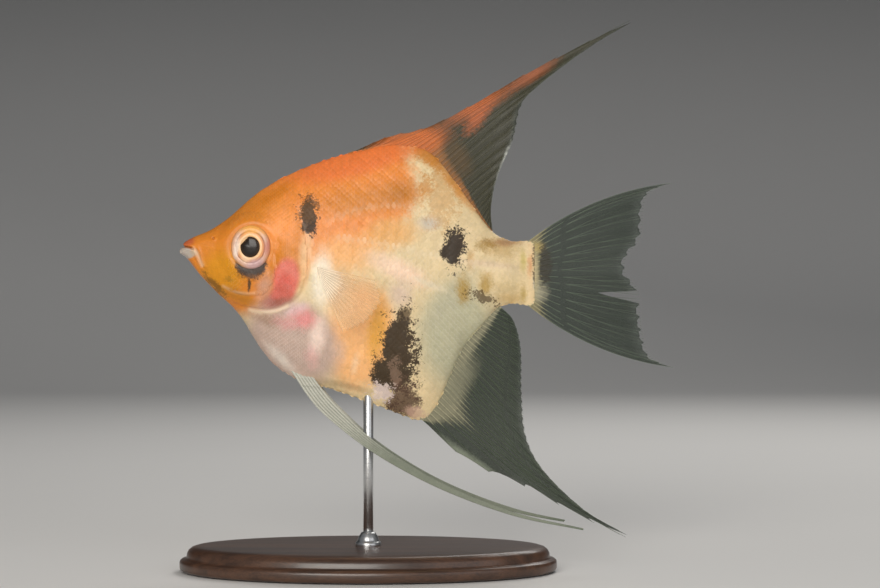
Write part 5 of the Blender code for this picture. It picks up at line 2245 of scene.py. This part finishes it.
TAIL_RAYS = FinFinish(
    "tail rays", (0.115, 0.142, 0.106), (0.34, 0.31, 0.18), (0.22, 0.25, 0.21), TAIL_PATCHES, 1, 0.88, 0.8,
    bands=0.08, root_share=0.2,
)
CLEAR_MEMBRANE = FinFinish(
    "pectoral membrane", (0.96, 0.66, 0.38), (0.98, 0.82, 0.62), (0.92, 0.72, 0.5), (), 0.5, 0.2, 0.09,
    root_share=0.5,
)
CLEAR_RAYS = FinFinish(
    "pectoral rays", (0.84, 0.54, 0.27), (0.98, 0.86, 0.68), (0.62, 0.42, 0.22), (), 0.9, 0.6, 0.45,
    root_share=0.6,
)
WHITE_MEMBRANE = FinFinish(
    "pelvic membrane", (0.11, 0.125, 0.085), (0.3, 0.3, 0.24), (0.08, 0.095, 0.065), (), 0.9, 0.66, 0.6,
    root_share=0.4,
)
WHITE_RAYS = FinFinish(
    "pelvic rays", (0.22, 0.24, 0.185), (0.5, 0.5, 0.43), (0.14, 0.165, 0.12), (), 1, 0.98, 0.95,
    root_share=0.4,
)


class Angelfish:
    """The whole model, built part by part."""

    def __init__(self) -> None:
        """Makes what the parts share."""
        self.body = BodyForm()
        self.skin = Skin(SkinForm(self.body))
        self.rays = ray_tree()

    def coat(self) -> None:
        """Grows the scales, then removes the leaf they are copied from."""
        leaf, tree = Leaf().build(), scale_tree()
        for side in Side:
            ScaleField(self.skin, Region.FLANK, side, leaf, tree, spacing=1.15).build()
            ScaleField(self.skin, Region.HEAD, side, leaf, tree, spacing=0.8).build()
        bpy.data.objects.remove(leaf)

    def median_fins(self) -> None:
        """Builds the dorsal, anal and caudal fins."""
        MedianFin(
            "dorsal_fin", "fin_dorsal", DORSAL_MEMBRANE, DORSAL_RAYS, self.rays, 12, 0.4, 26, body=self.body,
            leading=((42, 23.3), (50.5, 25.5), (61.6, 31.2), (72.7, 37.7), (91.6, 47.2)),
            trailing=((62.8, 9.4), (64.2, 15.6), (67.2, 22.6), (69, 29.8), (72.9, 34), (80.1, 39.5), (86.3, 43.6),
                      (91.4, 46.6)),
            bows=((0, -0.072), (0.2, -0.079), (0.4, 0.039), (0.55, 0.022), (1, 0)),
        ).build()
        MedianFin(
            "anal_fin", "fin_smoky", SMOKY_MEMBRANE, SMOKY_RAYS, self.rays, 6, 0.22, 27, body=self.body, upper=False,
            root=(49, 64.6),
            leading=((56.1, -40.7), (63.5, -45), (70.9, -47.9), (80, -52.9), (90.5, -57.7)),
            trailing=((67.3, -13.9), (68.8, -19.6), (69, -28.7), (69.9, -37.4), (73.6, -44.4), (82, -52.3),
                      (90.4, -57.1)),
            sway=(55, -22, 50, -1.6), peak=0.22, spread=(1, 0.6),
            bows=((0, -0.023), (0.11, 0), (0.22, 0.09), (0.415, 0.008), (1, 0)),
        ).build()
        TailFin("caudal_fin", "fin_smoky", TAIL_MEMBRANE, TAIL_RAYS, self.rays, soft=18, notch=0.035, fineness=6,
                forks=(0.32, 0.6)).build()

    def paired_fins(self) -> None:
        """Builds the pectoral fins and the pelvic feelers."""
        for side in Side:
            PectoralFin(
                f"pectoral_fin_{side.word}", "fin_clear", CLEAR_MEMBRANE, CLEAR_RAYS, self.rays, soft=12,
                thick=0.03, ray_thick=0.1, ray_thin=0.035, notch=0.035, carried=1.2, side=side,
            ).build()
            PelvicFin(
                f"pelvic_fin_{side.word}", "fin_white", WHITE_MEMBRANE, WHITE_RAYS, self.rays, soft=6, thick=0.16,
                ray_thick=0.3, ray_thin=0.1, notch=0, steps=60, forks=(2, 2), carried=3.4, side=side,
                reach=1 if side is Side.LEFT else 0.95,
            ).build()


def main() -> None:
    """Builds the fish, its stand and the studio, in that order."""
    logging.basicConfig(level=logging.INFO, format="%(name)s: %(message)s")
    fish = Angelfish()
    fish.skin.build()
    fish.coat()
    for side in Side:
        Eye(fish.skin.form, side).build()
    fish.median_fins()
    fish.paired_fins()
    Stand().build()
    Studio().build()


if __name__ == "__main__":
    main()
